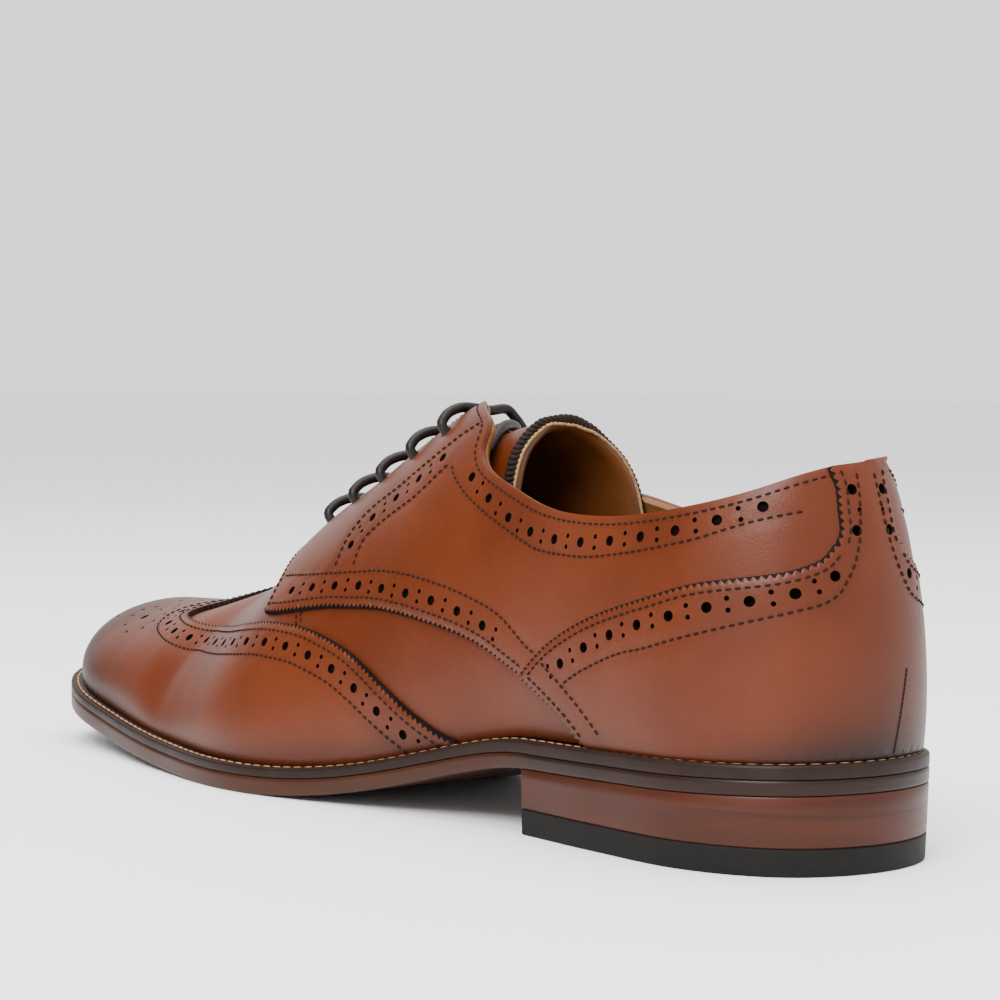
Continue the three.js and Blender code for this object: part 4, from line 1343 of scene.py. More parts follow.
class Upper:
    """Leather of the upper: base with its lining, wing tip, quarters and counter."""

    def __init__(self, last: Last, maker: Maker) -> None:
        """Draws the seams of both sides.

        Args:
            last: The surface.
            maker: The maker.
        """
        self.last = last
        self.maker = maker
        self.gimp = Gimp()
        self.sides = {side: Pattern(last, side) for side in Side}
        self.stitches = Stitching(maker)
        self.tops = {side: pattern.top_edge() for side, pattern in self.sides.items()}
        self.floors: list[Punch] = []

    def welt_line(self, start: float, end: float) -> Curve:
        """Line just over the welt between two turns."""
        turn = np.linspace(start, end, max(int(abs(end - start) / 0.25), 8))
        return Curve(self.last, turn, np.zeros(len(turn)), 1.2)

    def inset(self, curves: list[Curve], distance: float) -> Curve:
        """Line inside a loop, clear of its teeth."""
        loop = Curve.joined(self.last, curves, 0.9, True, 0.9)
        chart = self.last.chart(loop.turn, loop.up)
        area = np.sum(chart[:, 0] * np.roll(chart[:, 1], -1) - np.roll(chart[:, 0], -1) * chart[:, 1])
        return loop.shifted(distance if area > 0 else -distance)

    def rows_of_holes(
        self, line: Curve, large: float = 1.2, small: float = 0.58, pitch: float = 9.4,
    ) -> list[Punch]:
        """Large holes along a line with a pair of small ones between each two.

        Args:
            line: Where they run.
            large: Radius of the large holes.
            small: Radius of the small holes.
            pitch: Distance from one large hole to the next.

        Returns:
            The holes.
        """
        row = line.spaced(pitch / 2)
        made = [Punch(t, u, large) for t, u in zip(row.turn[1:-1:2], row.up[1:-1:2])]
        for aside in (-1.25, 1.25):
            pair = row.shifted(aside)
            made += [Punch(t, u, small) for t, u in zip(pair.turn[2:-1:2], pair.up[2:-1:2])]
        return made

    def seat(self, piece: bpy.types.Object, *nodes: str) -> None:
        """Fixes a piece to the shoe in place of its solids."""
        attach(piece, "root")
        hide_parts(*nodes)

    def base(self) -> None:
        """Whole upper under the overlays, with its lining."""
        outer, inner = self.tops[Side.OUTER], self.tops[Side.INNER]
        opening = Curve.joined(self.last, [outer, inner.reversed()], 0.9, True, 0.6)
        chart = self.last.chart(opening.turn, opening.up)
        area = np.sum(chart[:, 0] * np.roll(chart[:, 1], -1) - np.roll(chart[:, 0], -1) * chart[:, 1])
        around = self.welt_line(0, 359.75)
        around.closed = True
        panel = Panel(
            "upper_base", self.last, around, [], [opening], top=0.0, low=-2.0, roll=0.1, lip=0.9, step=2.1,
            finishes=(Finish.UPPER, Finish.RAW_EDGE, Finish.LINING),
        )
        panel.insets = [around.shifted(-0.8), opening.shifted(-0.6 if area > 0 else 0.6)]
        # The vamp's seams and the overlays' edges dent the base and darken it with painted shade.
        panel.grooves = self.vamp_lines()
        self.seat(panel.build(self.maker), "upper")

    def vamp_lines(self) -> list[Array]:
        """Seams of the vamp, and the edges of the overlays that meet it."""
        lines = []
        for pattern in self.sides.values():
            seam = pattern.line(VAMP_SEAM)
            self.stitches.run(seam.shifted(0.9), 0.0)
            self.stitches.run(seam.shifted(-0.9), 0.0)
            lines += [seam.points(), pattern.line(WING_EDGE).points(), pattern.line(QUARTER_EDGE).points()]
        return lines

    def quarter(self, side: Side, name: str, node: str) -> None:
        """One side of the quarters, with its facing.

        Args:
            side: Side of the shoe.
            name: Name of the piece.
            node: The solid it stands for.
        """
        pattern = self.sides[side]
        top = self.tops[side]
        start = int(np.argmax(top.points()[:, 0] > 1.3)) / (len(top.turn) - 1)
        crown_turn = crown_angle(np.linspace(THROAT_FRONT, 207.5, 6))
        crown_turn = crown_turn if side is Side.OUTER else 360 - crown_turn
        crown = Curve(self.last, crown_turn, np.ones(6), 0.9)
        front, edge = pattern.front(), pattern.line(QUARTER_EDGE)
        under = pattern.line(((0.275, 0.066), (0.240, 0.085), (0.210, 0.108), (0.178, 0.138), (0.130, 0.170),
                              (0.090, 0.200), (0.056, 0.225), (0.020, 0.255), (0.004, 0.30), (0.003, 0.36)))
        strip = pattern.line(((0.003, 0.37), (0.0025, 0.42), (0.004, 0.488)))
        inward = side.value
        toothed = [self.gimp.cut(front, -inward), self.gimp.cut(edge, -inward)]
        plain = [top.cut(start, 1), crown]
        loop = [*plain, *toothed, under, strip]
        outline = Loop(self.last, loop)
        lines = [
            (pattern.line(QUARTER_STITCH), (0.0,)),
            (pattern.line(FACING_FRONT_STITCH), (0.0,)),
            (pattern.line(FACING_BACK_STITCH), (0.0,)),
            (pattern.line(COLLAR_LOW_STITCH), (0.0,)),
            (Curve.joined(self.last, [front, edge], 0.8, False, 0.8), (1.9 * inward,)),
            (top.cut(start, 1), (1.9 * inward,)),
        ]
        punches = []
        for rows, pitch in ((QUARTER_HOLES, 9.4), (FACING_HOLES, 9.4), (COLLAR_HOLES, 10.2)):
            punches += self.rows_of_holes(pattern.line(rows), pitch=pitch)
        for k in range(5):
            crown_x = FRONT_BAR - BAR_PITCH * k
            place = float(crown_angle(crown_x))
            punches.append(Punch(place if side is Side.OUTER else 360 - place, 0.757, 1.75))
        self.overlay(name, node, outline, [*plain, front, edge, under, strip], lines, punches, 1.6)

    def overlay(
        self, name: str, node: str, outline: Curve, loop: list, lines: list, punches: list, top: float
    ) -> None:
        """Makes an overlay with its rows of stitches and holes.

        Args:
            name: Name of the piece.
            node: The solid it stands for.
            outline: Its cut edge.
            loop: The edge's stretches.
            lines: Rows of stitches, each a line and its distances aside.
            punches: Holes.
            top: Height of its face over the last.
        """
        panel = Panel(name, self.last, outline, self.inside(punches, outline), top=top)
        panel.insets = [self.inset(loop, 1.0)]
        for line, asides in lines:
            for aside in asides:
                row = line.shifted(aside)
                self.stitches.run(row, top, within=outline)
                # Each row of stitches dents the face and darkens it with painted shade.
                panel.grooves.append(row.points())
        self.floors += panel.punches
        self.seat(panel.build(self.maker), node)

    def inside(self, punches: list[Punch], outline: Curve) -> list[Punch]:
        """Drops holes that meet the edge or one another."""
        edge = self.last.point(outline.turn, outline.up)
        kept, middles = [], []
        for punch in punches:
            middle = self.last.point(np.array([punch.turn]), np.array([punch.up]))[0]
            chart = self.last.chart(np.array([punch.turn]), np.array([punch.up]))
            if not in_loop(chart, self.last.chart(outline.turn, outline.up))[0]:
                continue
            if np.linalg.norm(edge - middle, axis=1).min() < punch.radius + 1.0:
                continue
            gaps = [np.linalg.norm(m - middle) - p.radius for m, p in zip(middles, kept)]
            if gaps and min(gaps) < punch.radius + 0.45:
                continue
            kept.append(punch)
            middles.append(middle)
        return kept

    def wing(self) -> None:
        """Wing tip over the toe."""
        edges = {side: pattern.line(WING_EDGE) for side, pattern in self.sides.items()}
        outer, inner = edges[Side.OUTER], edges[Side.INNER]
        last_turn = float(outer.turn[-1])
        around = self.welt_line(last_turn + 0.3, 360 - last_turn - 0.3)
        outline = Loop(self.last, [self.gimp.cut(outer, 1), around, self.gimp.cut(inner, -1).reversed()])
        lines, punches = [], []
        for side, edge in edges.items():
            inward = -side.value
            lines.append((edge, (1.9 * inward, 8.9 * inward)))
            punches += self.rows_of_holes(edge.shifted(5.3 * inward))
        for along, up, radius in MEDALLION:
            turn = float(np.degrees(np.arccos(1 - 2 * along)))
            punches.append(Punch(turn, up, radius))
            if up < 0.94:
                punches.append(Punch(360 - turn, up, radius))
        self.overlay("wing_tip", "wing_cap", outline, [outer, around, inner.reversed()], lines, punches, 1.6)

    def counter(self) -> None:
        """Counter round the heel with the strip up its back."""
        strip = ((0.0060, 0.490), (0.0045, 0.448), (0.0045, 0.401), (0.0045, 0.356), (0.006, 0.330))
        parts, soft, lines, punches = {}, {}, [], []
        for side, pattern in self.sides.items():
            inward = side.value
            up_strip = pattern.line(strip)
            edge, front = pattern.line(COUNTER_EDGE), pattern.line(COUNTER_FRONT)
            soft[side] = [up_strip, edge, front]
            parts[side] = [self.gimp.cut(up_strip, -inward, 1.4), self.gimp.cut(edge, -inward, 1.4)]
            parts[side].append(self.gimp.cut(front, -inward))
            lines += [
                (edge, (1.7 * inward,)), (front, (1.7 * inward,)), (up_strip, (1.7 * inward,)),
                (pattern.line((*STRIP_STITCH, *COUNTER_STITCH[2:-1])), (0.0,)),
                (pattern.line(COUNTER_FRONT_STITCH), (0.0,)),
            ]
            punches += self.rows_of_holes(pattern.line(COUNTER_HOLES[:-1]))
            punches += self.rows_of_holes(pattern.line(((0.0017, 0.485), (0.0017, 0.32))))
        outer, inner = parts[Side.OUTER], parts[Side.INNER]
        end = float(outer[-1].turn[-1])
        around = self.welt_line(end - 0.3, -end + 0.3)
        around.turn = np.mod(around.turn, 360)
        top = self.tops[Side.INNER]
        close_in = top.cut(0, int(np.argmax(top.points()[:, 0] > 1.6)) / (len(top.turn) - 1)).reversed()
        top = self.tops[Side.OUTER]
        close_out = top.cut(0, int(np.argmax(top.points()[:, 0] > 1.6)) / (len(top.turn) - 1))
        back = [c.reversed() for c in reversed(inner)]
        loop = [*outer, around, *back, close_in, close_out]
        soft_back = [c.reversed() for c in reversed(soft[Side.INNER])]
        plain = [*soft[Side.OUTER], around, *soft_back, close_in, close_out]
        outline = Loop(self.last, loop)
        slit_turn, slit_up = np.array([353.6, 354.8, 356.2, 357.4]), np.array([0.125, 0.085, 0.04, 0.003])
        slit = Curve(self.last, slit_turn, slit_up, 1.0)
        self.stitches.run(slit, 2.2, 1.4, 1.0, 0.9)
        self.overlay("counter", "heel_counter", outline, plain, lines, punches, 2.4)

    def hole_shade_discs(self) -> None:
        """Dark discs of painted shade at the bottom of the punched holes."""
        points, faces = [], []
        for punch in self.floors:
            turn, up = np.array([punch.turn]), np.array([punch.up])
            centre, normal = self.last.shell(turn, up, np.array([0.45]))[0], self.last.normal(turn, up)[0]
            first = unit(np.cross(normal, [0.3, 0.1, 1.0]))
            second = np.cross(normal, first)
            start = len(points)
            for k in range(12):
                angle = 2 * math.pi * k / 12
                out = math.cos(angle) * first + math.sin(angle) * second
                points.append(centre + (punch.radius + 0.15) * out)
            for k in range(12):
                points.append(points[start + k] - normal * 0.3)
            faces.append(tuple(start + k for k in range(12)))
            faces.append(tuple(start + 12 + k for k in reversed(range(12))))
            for k in range(12):
                after = start + (k + 1) % 12
                faces.append((start + k, start + 12 + k, after + 12, after))
        piece = self.maker.piece("hole_shade_discs", np.array(points), faces, [Finish.HOLE_SHADE])
        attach(piece, "root")

    def build(self) -> None:
        """Makes every piece of the upper."""
        self.quarter(Side.OUTER, "quarter_left", "quarter_outer")
        self.quarter(Side.INNER, "quarter_right", "quarter_inner")
        self.wing()
        self.counter()
        self.base()
        self.hole_shade_discs()
        piece = self.stitches.build("stitches", Finish.THREAD)
        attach(piece, "root")


class Loop(Curve):
    """Closed line whose places are kept as they are, teeth and all."""

    def __init__(self, last: Last, curves: list[Curve]) -> None:
        """Drops places that lie on one another.

        Args:
            last: The surface.
            curves: Stretches of the line, end to end.
        """
        turn = np.concatenate([c.turn for c in curves])
        up = np.concatenate([c.up for c in curves])
        skirt = np.vstack([c.skirt for c in curves])
        points = last.point(turn, up)
        kept = [0]
        for i in range(1, len(points)):
            if np.linalg.norm(points[i] - points[kept[-1]]) > 0.12:
                kept.append(i)
        while np.linalg.norm(points[kept[-1]] - points[kept[0]]) < 0.12:
            kept.pop()
        self.last, self.turn, self.up = last, np.mod(turn[kept], 360), up[kept]
        self.skirt = skirt[kept]
        self.closed = True
        self.length = float(np.linalg.norm(np.diff(points, axis=0), axis=1).sum())


@dataclass
class Tongue:
    """Tongue that stands out of the throat, with its lining and toothed rim."""

    last: Last
    maker: Maker
    top: float = 104.0
    front: float = 211.53
    half_width: float = 21.5
    height: float = 96.3
    thickness: float = 2.4

    def __post_init__(self) -> None:
        """Makes the rim's curves."""
        rows = np.array(TONGUE_RIM)
        self.ahead = Smooth(list(rows[:, 0]), list(self.top + rows[:, 1] * self.half_width))
        self.aside = Smooth(list(rows[:, 0]), list(rows[:, 2] * self.half_width))
        self.high = Smooth(list(rows[:, 0]), list(rows[:, 3] * self.height))

    def face(self, across: Array, down: Array) -> Array:
        """Point of the outer face.

        Args:
            across: -1 at the inner edge, 1 at the outer edge.
            down: 0 at the rim, 1 at the front end.

        Returns:
            Rows of x, y, z.
        """
        share = (mix(self.top, self.front, down) - CROWN_START) / CROWN_RUN
        turn = np.degrees(np.arccos(1 - 2 * share))
        turn = np.where(across > 0, turn, 360 - turn)
        up = 1 - np.abs(across) * mix(0.56, 0.36, down)
        inside = 2 + 0.3 + 1.3 + 17 * (1 - down) ** 4
        under = self.last.shell(turn, up, -inside)
        rim = np.stack([self.ahead(across), self.aside(across), self.high(across)], -1)
        return mix(rim, under, np.clip(down * 1.7, 0, 1)[..., None])

    def build(self) -> None:
        """Makes the tongue."""
        rows, columns = 90, 96
        fine = 2 * (0.5 - 0.5 * np.cos(np.linspace(0, np.pi, columns + 1))) - 1
        flat = np.linspace(-1, 1, columns + 1)
        across = 0.35 * fine + 0.65 * flat
        down = np.linspace(0, 1, rows + 1) ** 1.25
        grid_down, grid_across = np.meshgrid(down, across, indexing="ij")
        top = self.face(grid_across.ravel(), grid_down.ravel()).reshape(rows + 1, columns + 1, 3)
        along = np.gradient(top, axis=0)
        sideways = np.gradient(top, axis=1)
        normal = unit(np.cross(along, sideways))
        normal[0] = normal[1]
        sheet = self.thickness - 1.4 * np.exp(-down / 0.06)
        inside = top - normal * sheet[:, None, None]
        width = columns + 1
        points = np.vstack([top.reshape(-1, 3), inside.reshape(-1, 3)])
        offset = width * (rows + 1)
        faces, marks = [], []
        for i in range(rows):
            for j in range(columns):
                a = i * width + j
                b, c, d = a + 1, a + width + 1, a + width
                faces += [(a, d, c, b), (a + offset, b + offset, c + offset, d + offset)]
                marks += [0, 1]
        for i in range(rows):
            a, b = i * width, (i + 1) * width
            faces.append((a, a + offset, b + offset, b))
            a, b = a + columns, b + columns
            faces.append((a, b, b + offset, a + offset))
            marks += [2, 2]
        for j in range(columns):
            a, b = j, j + 1
            faces.append((a, b, b + offset, a + offset))
            a, b = rows * width + j, rows * width + j + 1
            faces.append((b, a, a + offset, b + offset))
            marks += [2, 2]
        low = (grid_down.ravel() < 0.03).astype(float) * 0.3
        piece = self.maker.piece(
            "tongue_sheet", points, faces, [Finish.UPPER, Finish.TONGUE_LINING, Finish.RIM], marks,
            np.concatenate([low, low]),
        )
        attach(piece, "root")
        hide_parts("tongue")
        self.binding()

    def binding(self) -> None:
        """Dark toothed rim of the tongue, and the pale line inside it."""
        across = np.linspace(-1, 1, 1201)
        edge = self.face(across, np.zeros(1201))
        beyond = unit(edge - self.face(across, np.full(1201, 0.03)))
        ahead = unit(np.gradient(edge, axis=0))
        normal = unit(np.cross(ahead, beyond))
        normal = normal * np.where(normal[600] @ np.array([1.0, 0.0, 1.0]) > 0, 1.0, -1.0)
        reach = np.concatenate([[0], np.cumsum(np.linalg.norm(np.diff(edge, axis=0), axis=1))])
        teeth = 0.66 + 0.34 * np.abs(np.sin(np.pi * reach / 1.35)) ** 0.6
        profile = (
            (0.35, -2.0), (0.55, -1.0), (0.55, 0.1), (0.2, 0.75), (-0.5, 0.95), (-1.2, 0.75),
            (-1.75, 0.1), (-1.85, -1.0), (-1.75, -2.0), (-0.5, -2.2),
        )
        rings = []
        for out, over in profile:
            lifted = normal * ((out + 0.5) * teeth - 0.5)[:, None]
            rings.append(edge + lifted + beyond * (over * teeth)[:, None])
        points = np.stack(rings, 1).reshape(-1, 3)
        n = len(profile)
        faces = []
        for i in range(1200):
            for k in range(n):
                a, b = i * n + k, i * n + (k + 1) % n
                faces.append((a, b, b + n, a + n))
        faces += [tuple(range(n)), tuple(1200 * n + k for k in reversed(range(n)))]
        piece = self.maker.piece("tongue_rim", points, faces, [Finish.RIM], sharp=60)
        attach(piece, "root")
        path = (edge - normal * 1.45 - beyond * 1.75)[::6]
        points, faces = self.maker.tube(path, 0.42, 8)
        piece = self.maker.piece("tongue_piping", points, faces, [Finish.WELT_THREAD])
        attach(piece, "root")


def spline(points: Array, step: float) -> Array:
    """Smooth line through points, read at even steps.

    Args:
        points: Rows of x, y, z.
        step: Distance between the points handed back.

    Returns:
        The line's points.
    """
    points = np.asarray(points, float)
    mark = np.concatenate([[0], np.cumsum(np.sqrt(np.linalg.norm(np.diff(points, axis=0), axis=1)))])
    fine = np.linspace(0, mark[-1], 400)
    line = np.stack([Flowing(list(mark), list(points[:, k]))(fine) for k in range(3)], -1)
    reach = np.concatenate([[0], np.cumsum(np.linalg.norm(np.diff(line, axis=0), axis=1))])
    even = np.linspace(0, reach[-1], max(int(reach[-1] / step), 2) + 1)
    return np.stack([np.interp(even, reach, line[:, k]) for k in range(3)], -1)


@dataclass
class Lacing:
    """Waxed lace: bars over the throat and two free ends."""

    last: Last
    maker: Maker
    diameter: float = 2.6

    def bars(self) -> None:
        """Five bars whose feet go into the eyelets."""
        rows = (
            (-0.035, -1.05), (-0.012, -0.2), (0.004, 0.45), (0.05, 0.85), (0.24, 1.0), (0.52, 0.45),
            (1.0, -0.7),
        )
        for k in range(5):
            turn = float(crown_angle(FRONT_BAR - BAR_PITCH * k))
            there = [self.spot(turn, *row) for row in rows]
            back = [self.spot(360 - turn, up, min(rise, 0.35)) for up, rise in rows[-2::-1]]
            points, faces = self.maker.tube(spline(np.array(there + back), 0.8), self.diameter / 2, 16)
            piece = self.maker.piece(f"lace_{k + 1}", points, faces, [Finish.LACE])
            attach(piece, "root")
            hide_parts(f"lace_bar_{k + 1}")

    def spot(self, turn: float, up: float, rise: float) -> Array:
        """A point of a bar."""
        out = 1.6 + 0.3 + rise * (1 + self.diameter / 2)
        return self.last.shell(np.array([turn]), np.array([mix(0.76, 1.0, up)]), np.array([out]))[0]

    def ends(self) -> None:
        """Two ends that cross the tongue and go under the facings."""
        for k, route in enumerate(LACE_END_ROUTES):
            path = np.array(route)
            first = path[0] - unit(path[1] - path[0]) * 4.4
            final = path[-1] + unit(path[-1] - path[-2]) * 4.4
            line = self.maker.place(spline(np.vstack([first, path, final]), 0.5))
            curve = bpy.data.curves.new(f"lace_tail_{k + 1}", "CURVE")
            curve.dimensions = "3D"
            curve.bevel_depth = self.diameter / 2000
            curve.bevel_resolution = 5
            curve.use_fill_caps = True
            run = curve.splines.new("POLY")
            run.points.add(len(line) - 1)
            run.points.foreach_set("co", np.hstack([line, np.ones((len(line), 1))]).ravel())
            curve.materials.append(Finish.LACE.material())
            piece = bpy.data.objects.new(curve.name, curve)
            bpy.context.collection.objects.link(piece)
            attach(piece, "root")
            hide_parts(f"lace_end_{k + 1}")


@dataclass
class Bottom:
    """Outsole, welt, insole, stacked heel and its rubber lift."""

    sole: Sole
    maker: Maker

    def plate(
        self, name: str, node: str, slot: str, profile: list, finish: Finish, burnish_and_shade: object = None,
    ) -> None:
        """Makes a plate from rings round the plan.

        Args:
            name: Name of the piece.
            node: The solid it stands for.
            slot: Its material slot; not used.
            profile: Rings from the lower middle to the upper middle: inset and height, both of x.
            finish: Its finish.
            burnish_and_shade: Darkness as a function of x, or none.
        """
        count, columns = 360, 10
        turn = np.linspace(0, 360, count, endpoint=False)
        rings = []
        for inset, height in profile:
            x, y, _, _, station = self.sole.plan(turn, inset(self.sole.plan(turn)[4]))
            rings.append(np.stack([x, y, height(station)], -1))
        points = np.vstack(rings)
        faces = []
        for i in range(len(rings) - 1):
            for k in range(count):
                m = (k + 1) % count
                faces.append((i * count + k, i * count + m, (i + 1) * count + m, (i + 1) * count + k))
        extra = []
        for ring, flip in ((0, True), (len(rings) - 1, False)):
            before = len(points) + len(extra)
            start = ring * count
            table = [[start] * (columns + 1)]
            for i in range(1, count // 2):
                a, b = start + i, start + count - i
                row = [a]
                for j in range(1, columns):
                    row.append(before)
                    extra.append(mix(points[a], points[b], j / columns))
                    before += 1
                table.append([*row, b])
            table.append([start + count // 2] * (columns + 1))
            for upper, lower in zip(table, table[1:]):
                for j in range(columns):
                    corners = list(dict.fromkeys([upper[j], upper[j + 1], lower[j + 1], lower[j]]))
                    faces.append(corners[::-1] if flip else corners)
        every = np.vstack([points, np.array(extra)])
        dark = None if burnish_and_shade is None else burnish_and_shade(every[:, 0])
        self.seat(self.maker.piece(name, every, self.outward(every, faces), [finish], None, dark), node, slot)

    def outward(self, points: Array, faces: list) -> list:
        """Turns the faces outward where the whole is inside out."""
        volume = 0.0
        for face in faces:
            a = points[face[0]]
            for b, c in zip(face[1:], face[2:]):
                volume += a @ np.cross(points[b], points[c])
        return faces if volume > 0 else [tuple(reversed(f)) for f in faces]

    def seat(self, piece: bpy.types.Object, node: str, slot: str) -> None:
        """Fixes a piece to the shoe in place of its solid."""
        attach(piece, "root")
        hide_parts(node)

    def outsole(self) -> None:
        """Leather outsole with an eased edge."""
        low, high = self.sole.underside, self.sole.outsole_top
        rows = [(0.9, low, 0), (0.35, low, 0.08), (0.08, low, 0.35), (0.0, low, 0.9)]
        rows += [(0.0, high, -0.9), (0.06, high, -0.3), (0.3, high, -0.04), (0.9, high, 0.0)]
        profile = [(self.fixed(i), self.raised(h, d)) for i, h, d in rows]
        self.plate("outsole_body", "outsole", "sole_leather", profile, Finish.OUTSOLE, self.heel_dark)

    def heel_dark(self, x: Array) -> Array:
        """Dark at the heel, light at the waist and forefoot."""
        return np.clip((92 - x) / 14, 0, 1) * 0.8

    def fixed(self, value: float) -> object:
        """The same inset everywhere."""
        return lambda x: np.full(np.shape(x), value)

    def raised(self, height: object, more: float) -> object:
        """A height with a little added."""
        return lambda x: height(x) + more

    def welt(self) -> None:
        """Welt with an eased edge and a groove for its stitches."""
        low, high = self.sole.outsole_top, self.sole.welt_top
        hidden = lambda x: self.sole.welt_shows(x) + 2
        rows = [(0.5, low, 0.0), (0.06, low, 0.25), (0.0, low, 0.7), (0.0, high, -0.8), (0.1, high, -0.35)]
        rows += [(0.45, high, -0.06), (1.0, high, 0.0), (1.5, high, 0.0)]
        rows += [(1.9, high, -0.28), (2.3, high, 0.0)]
        profile = [(hidden, self.raised(low, 0.0))]
        profile += [(self.fixed(i), self.raised(h, d)) for i, h, d in rows]
        profile += [(hidden, self.raised(high, 0.0))]
        self.plate("welt_ring", "welt", "welt_leather", profile, Finish.WELT)

    def insole(self) -> None:
        """Sock inside the shoe."""
        low = self.sole.outsole_top
        high = lambda x: self.sole.welt_top(x) + 3
        edge = lambda more: lambda x: self.sole.welt_shows(x) + 2.6 + more
        profile = [
            (edge(0.0), self.raised(low, 0.3)), (edge(0.0), self.raised(high, -0.5)),
            (edge(0.15), self.raised(high, -0.1)), (edge(0.6), self.raised(high, 0.0)),
        ]
        self.plate("sock", "insole", "sock_leather", profile, Finish.LINING)

    def heel_outline(self, inset: Array) -> tuple[Array, Array]:
        """Plan of the heel, its curved breast included."""
        edge = np.degrees(np.arccos(1 - 2 * self.sole.heel_length / self.sole.length))
        turn = np.linspace(-edge, edge, 150)
        x, y, _, _, _ = self.sole.plan(turn, inset)
        across = np.linspace(1, -1, 42)[1:-1]
        front = self.sole.heel_length - self.sole.breast_hollow * (1 - across**2)
        side = mix(y[0], y[-1], (across + 1) / 2)
        return np.concatenate([x, front]), np.concatenate([y, side])

    def block(self, name: str, node: str, slot: str, levels: list, finish: Finish) -> None:
        """Makes a block of the heel from levels.

        Args:
            name: Name of the piece.
            node: The solid it stands for.
            slot: Its material slot; not used.
            levels: Insets and heights as functions of x.
            finish: Its finish.
        """
        rings = []
        for inset, height in levels:
            x, y = self.heel_outline(inset)
            rings.append(np.stack([x, y, height(x)], -1))
        count = len(rings[0])
        faces = [tuple(range(count)), tuple(range(len(rings) * count - 1, (len(rings) - 1) * count - 1, -1))]
        for i in range(len(rings) - 1):
            for k in range(count):
                m = (k + 1) % count
                faces.append((i * count + m, i * count + k, (i + 1) * count + k, (i + 1) * count + m))
        points = np.vstack(rings)
        self.seat(self.maker.piece(name, points, self.outward(points, faces), [finish]), node, slot)

    def heel(self) -> None:
        """Stacked leather heel on a rubber lift."""
        taper = lambda z: self.sole.heel_taper * (1 - z / self.sole.heel_back)
        top = lambda x: self.sole.underside(x) - 0.05
        level = lambda z: lambda x: np.full(len(x), z)
        share = lambda t: lambda x: mix(6.3, top(x), t)
        lift = self.sole.lift
        self.block("stack", "heel_stack", "stack_leather", [
            (taper(6.3) + 0.25, level(6.15)), (taper(6.3), level(6.4)), (taper(9.0), share(0.3)),
            (taper(13.0), share(0.7)), (0.05, share(0.97)), (0.25, top),
        ], Finish.STACK)
        self.block("lift", "top_lift", "lift_rubber", [
            (taper(0.0) + 0.5, level(0.0)), (taper(0.0) + 0.1, level(0.15)), (taper(0.0), level(0.5)),
            (taper(lift), level(lift - 0.25)), (taper(lift) + 0.25, level(lift + 0.05)),
        ], Finish.LIFT)

    def welt_stitches(self) -> None:
        """Cream stitches in the welt's groove."""
        turn = np.linspace(0, 360, 1441)[:-1]
        station = self.sole.plan(turn)[4]
        x, y, nx, ny, _ = self.sole.plan(turn, 1.9)
        line = np.stack([x, y, self.sole.welt_top(station) - 0.12], -1)
        closed = np.vstack([line, line[:1]])
        reach = np.concatenate([[0], np.cumsum(np.linalg.norm(np.diff(closed, axis=0), axis=1))])
        marks = np.linspace(0, reach[-1], int(reach[-1] / 3.4) + 1)[:-1]
        spots = np.stack([np.interp(marks, reach, closed[:, k]) for k in range(3)], -1)
        ahead = unit(np.roll(spots, -1, 0) - np.roll(spots, 1, 0))
        out = np.tile([0.0, 0.0, 1.0], (len(spots), 1))
        row = Stitching(self.maker)
        for p, t, n in zip(spots, ahead, out):
            row.places.append((p, t, n, np.cross(n, t), 1.4, 0.33))
        piece = row.build("welt_stitches", Finish.WELT_THREAD)
        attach(piece, "root")

    def build(self) -> None:
        """Makes the whole bottom."""
        self.outsole()
        self.welt()
        self.insole()
        self.heel()
        self.welt_stitches()


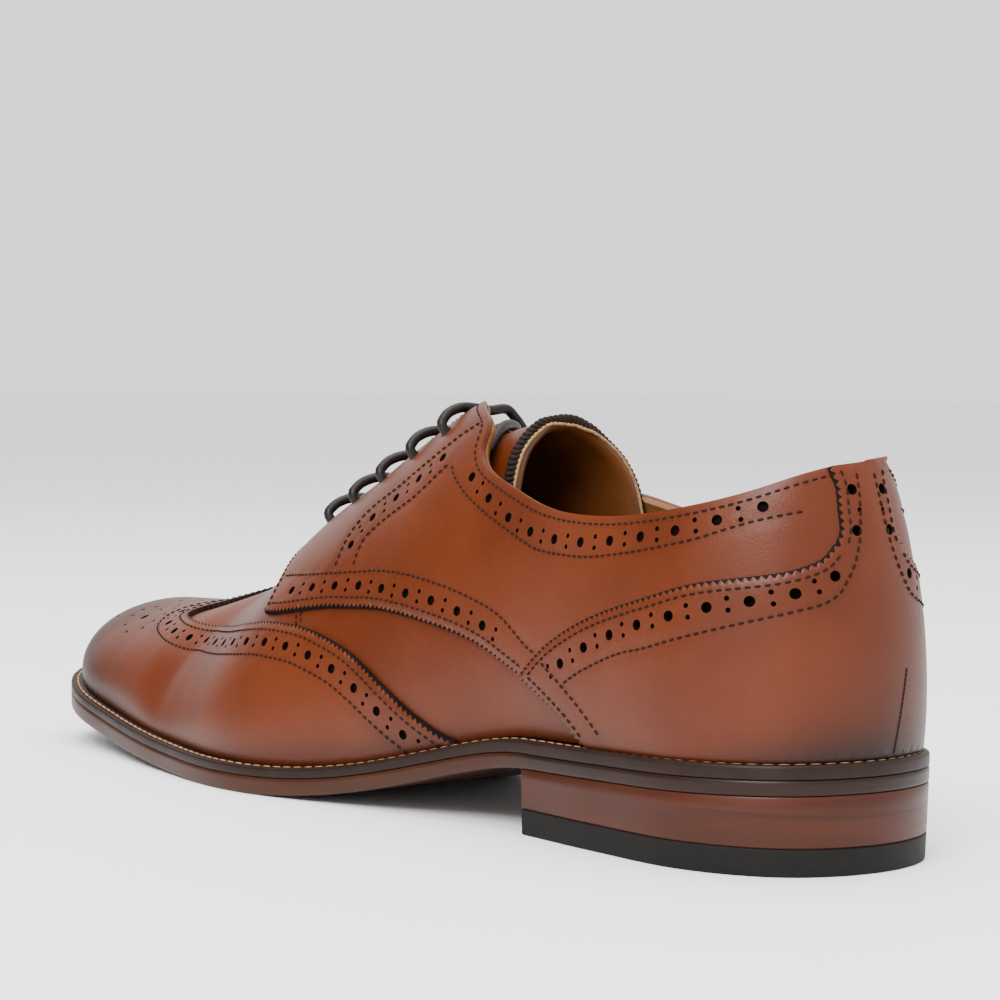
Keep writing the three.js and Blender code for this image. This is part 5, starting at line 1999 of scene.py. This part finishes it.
@dataclass
class Studio:
    """Camera, floor and soft lights."""

    spot: tuple[float, float, float] = (-0.55309, 0.44341, 0.10417)
    yaw: float = 0.69419
    pitch: float = 0.0672
    roll: float = 0.01358

    def camera(self) -> None:
        """Camera of the photo."""
        yaw, pitch = self.yaw, self.pitch
        view = Vector((math.cos(yaw) * math.cos(pitch), -math.sin(yaw) * math.cos(pitch), -math.sin(pitch)))
        right = Vector((-math.sin(yaw), -math.cos(yaw), 0.0))
        up = right.cross(view)
        side = right * math.cos(self.roll) + up * math.sin(self.roll)
        head = up * math.cos(self.roll) - right * math.sin(self.roll)
        bpy.ops.object.camera_add()
        camera = bpy.context.object
        camera.name = "photo_camera"
        camera.data.sensor_width = 36
        camera.data.lens = 99.866
        camera.data.shift_y = 0.0689
        camera.data.clip_start = 0.05
        camera.matrix_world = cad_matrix(side, head, -view, Vector(self.spot))
        bpy.context.scene.camera = camera

    def floor(self) -> None:
        """Pale floor."""
        bpy.ops.mesh.primitive_plane_add(size=30, location=(0, 0, 0))
        plane = bpy.context.object
        plane.name = "floor"
        paint = Paint("pale floor")
        paint.set("Base Color", (0.93, 0.93, 0.93, 1))
        paint.set("Roughness", 0.6)
        paint.set("Specular IOR Level", 0.25)
        plane.data.materials.append(paint.material)

    def flag(self) -> None:
        """Dark card beside the toe, which keeps its polish deep."""
        bpy.ops.mesh.primitive_plane_add(size=1)
        card = bpy.context.object
        card.name = "flag"
        card.scale = (2.6, 1.5, 1)
        card.location = (1.35, 1.25, 0.76)
        card.rotation_euler = (math.radians(90), 0, math.radians(-47))
        bpy.ops.object.transform_apply(location=True, rotation=True, scale=True)
        paint = Paint("dark card")
        paint.set("Base Color", (0.03, 0.03, 0.03, 1))
        paint.set("Roughness", 0.9)
        card.data.materials.append(paint.material)
        card.visible_camera = False

    def lights(self) -> None:
        """Soft lights and a pale surround."""
        world = bpy.data.worlds.new("surround")
        bpy.context.scene.world = world
        world.use_nodes = True
        back = world.node_tree.nodes["Background"]
        back.inputs[0].default_value = (1.0, 1.0, 1.0, 1.0)
        back.inputs[1].default_value = 1.5
        lamps = (
            ("key", (-0.55, 1.0, 1.15), 0.8, 36.0),
            ("top", (0.1, -0.1, 1.5), 1.3, 30.0),
        )
        for name, spot, size, power in lamps:
            bpy.ops.object.light_add(type="AREA", location=spot)
            lamp = bpy.context.object
            lamp.name = name
            lamp.data.size = size
            lamp.data.energy = power
            aim = Vector((0.0, 0.0, 0.05)) - Vector(spot)
            lamp.rotation_euler = aim.to_track_quat("-Z", "Y").to_euler()


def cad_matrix(side: Vector, head: Vector, back: Vector, spot: Vector) -> object:
    """Matrix from three directions and a place."""
    columns = (side, head, back)
    return Matrix([[c[k] for c in columns] + [spot[k]] for k in range(3)] + [[0, 0, 0, 1]])


def main() -> None:
    """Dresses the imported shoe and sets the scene."""
    logging.basicConfig(level=logging.INFO, format="%(message)s")
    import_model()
    studio = Studio()
    studio.camera()
    sole = Sole()
    last = Last(sole)
    maker = Maker(sole)
    lacing = Lacing(last, maker)
    lacing.ends()
    lacing.bars()
    log.info("laces made")
    Bottom(sole, maker).build()
    log.info("bottom made")
    Upper(last, maker).build()
    log.info("upper made")
    Tongue(last, maker).build()
    studio.floor()
    studio.flag()
    studio.lights()


if __name__ == "__main__":
    main()
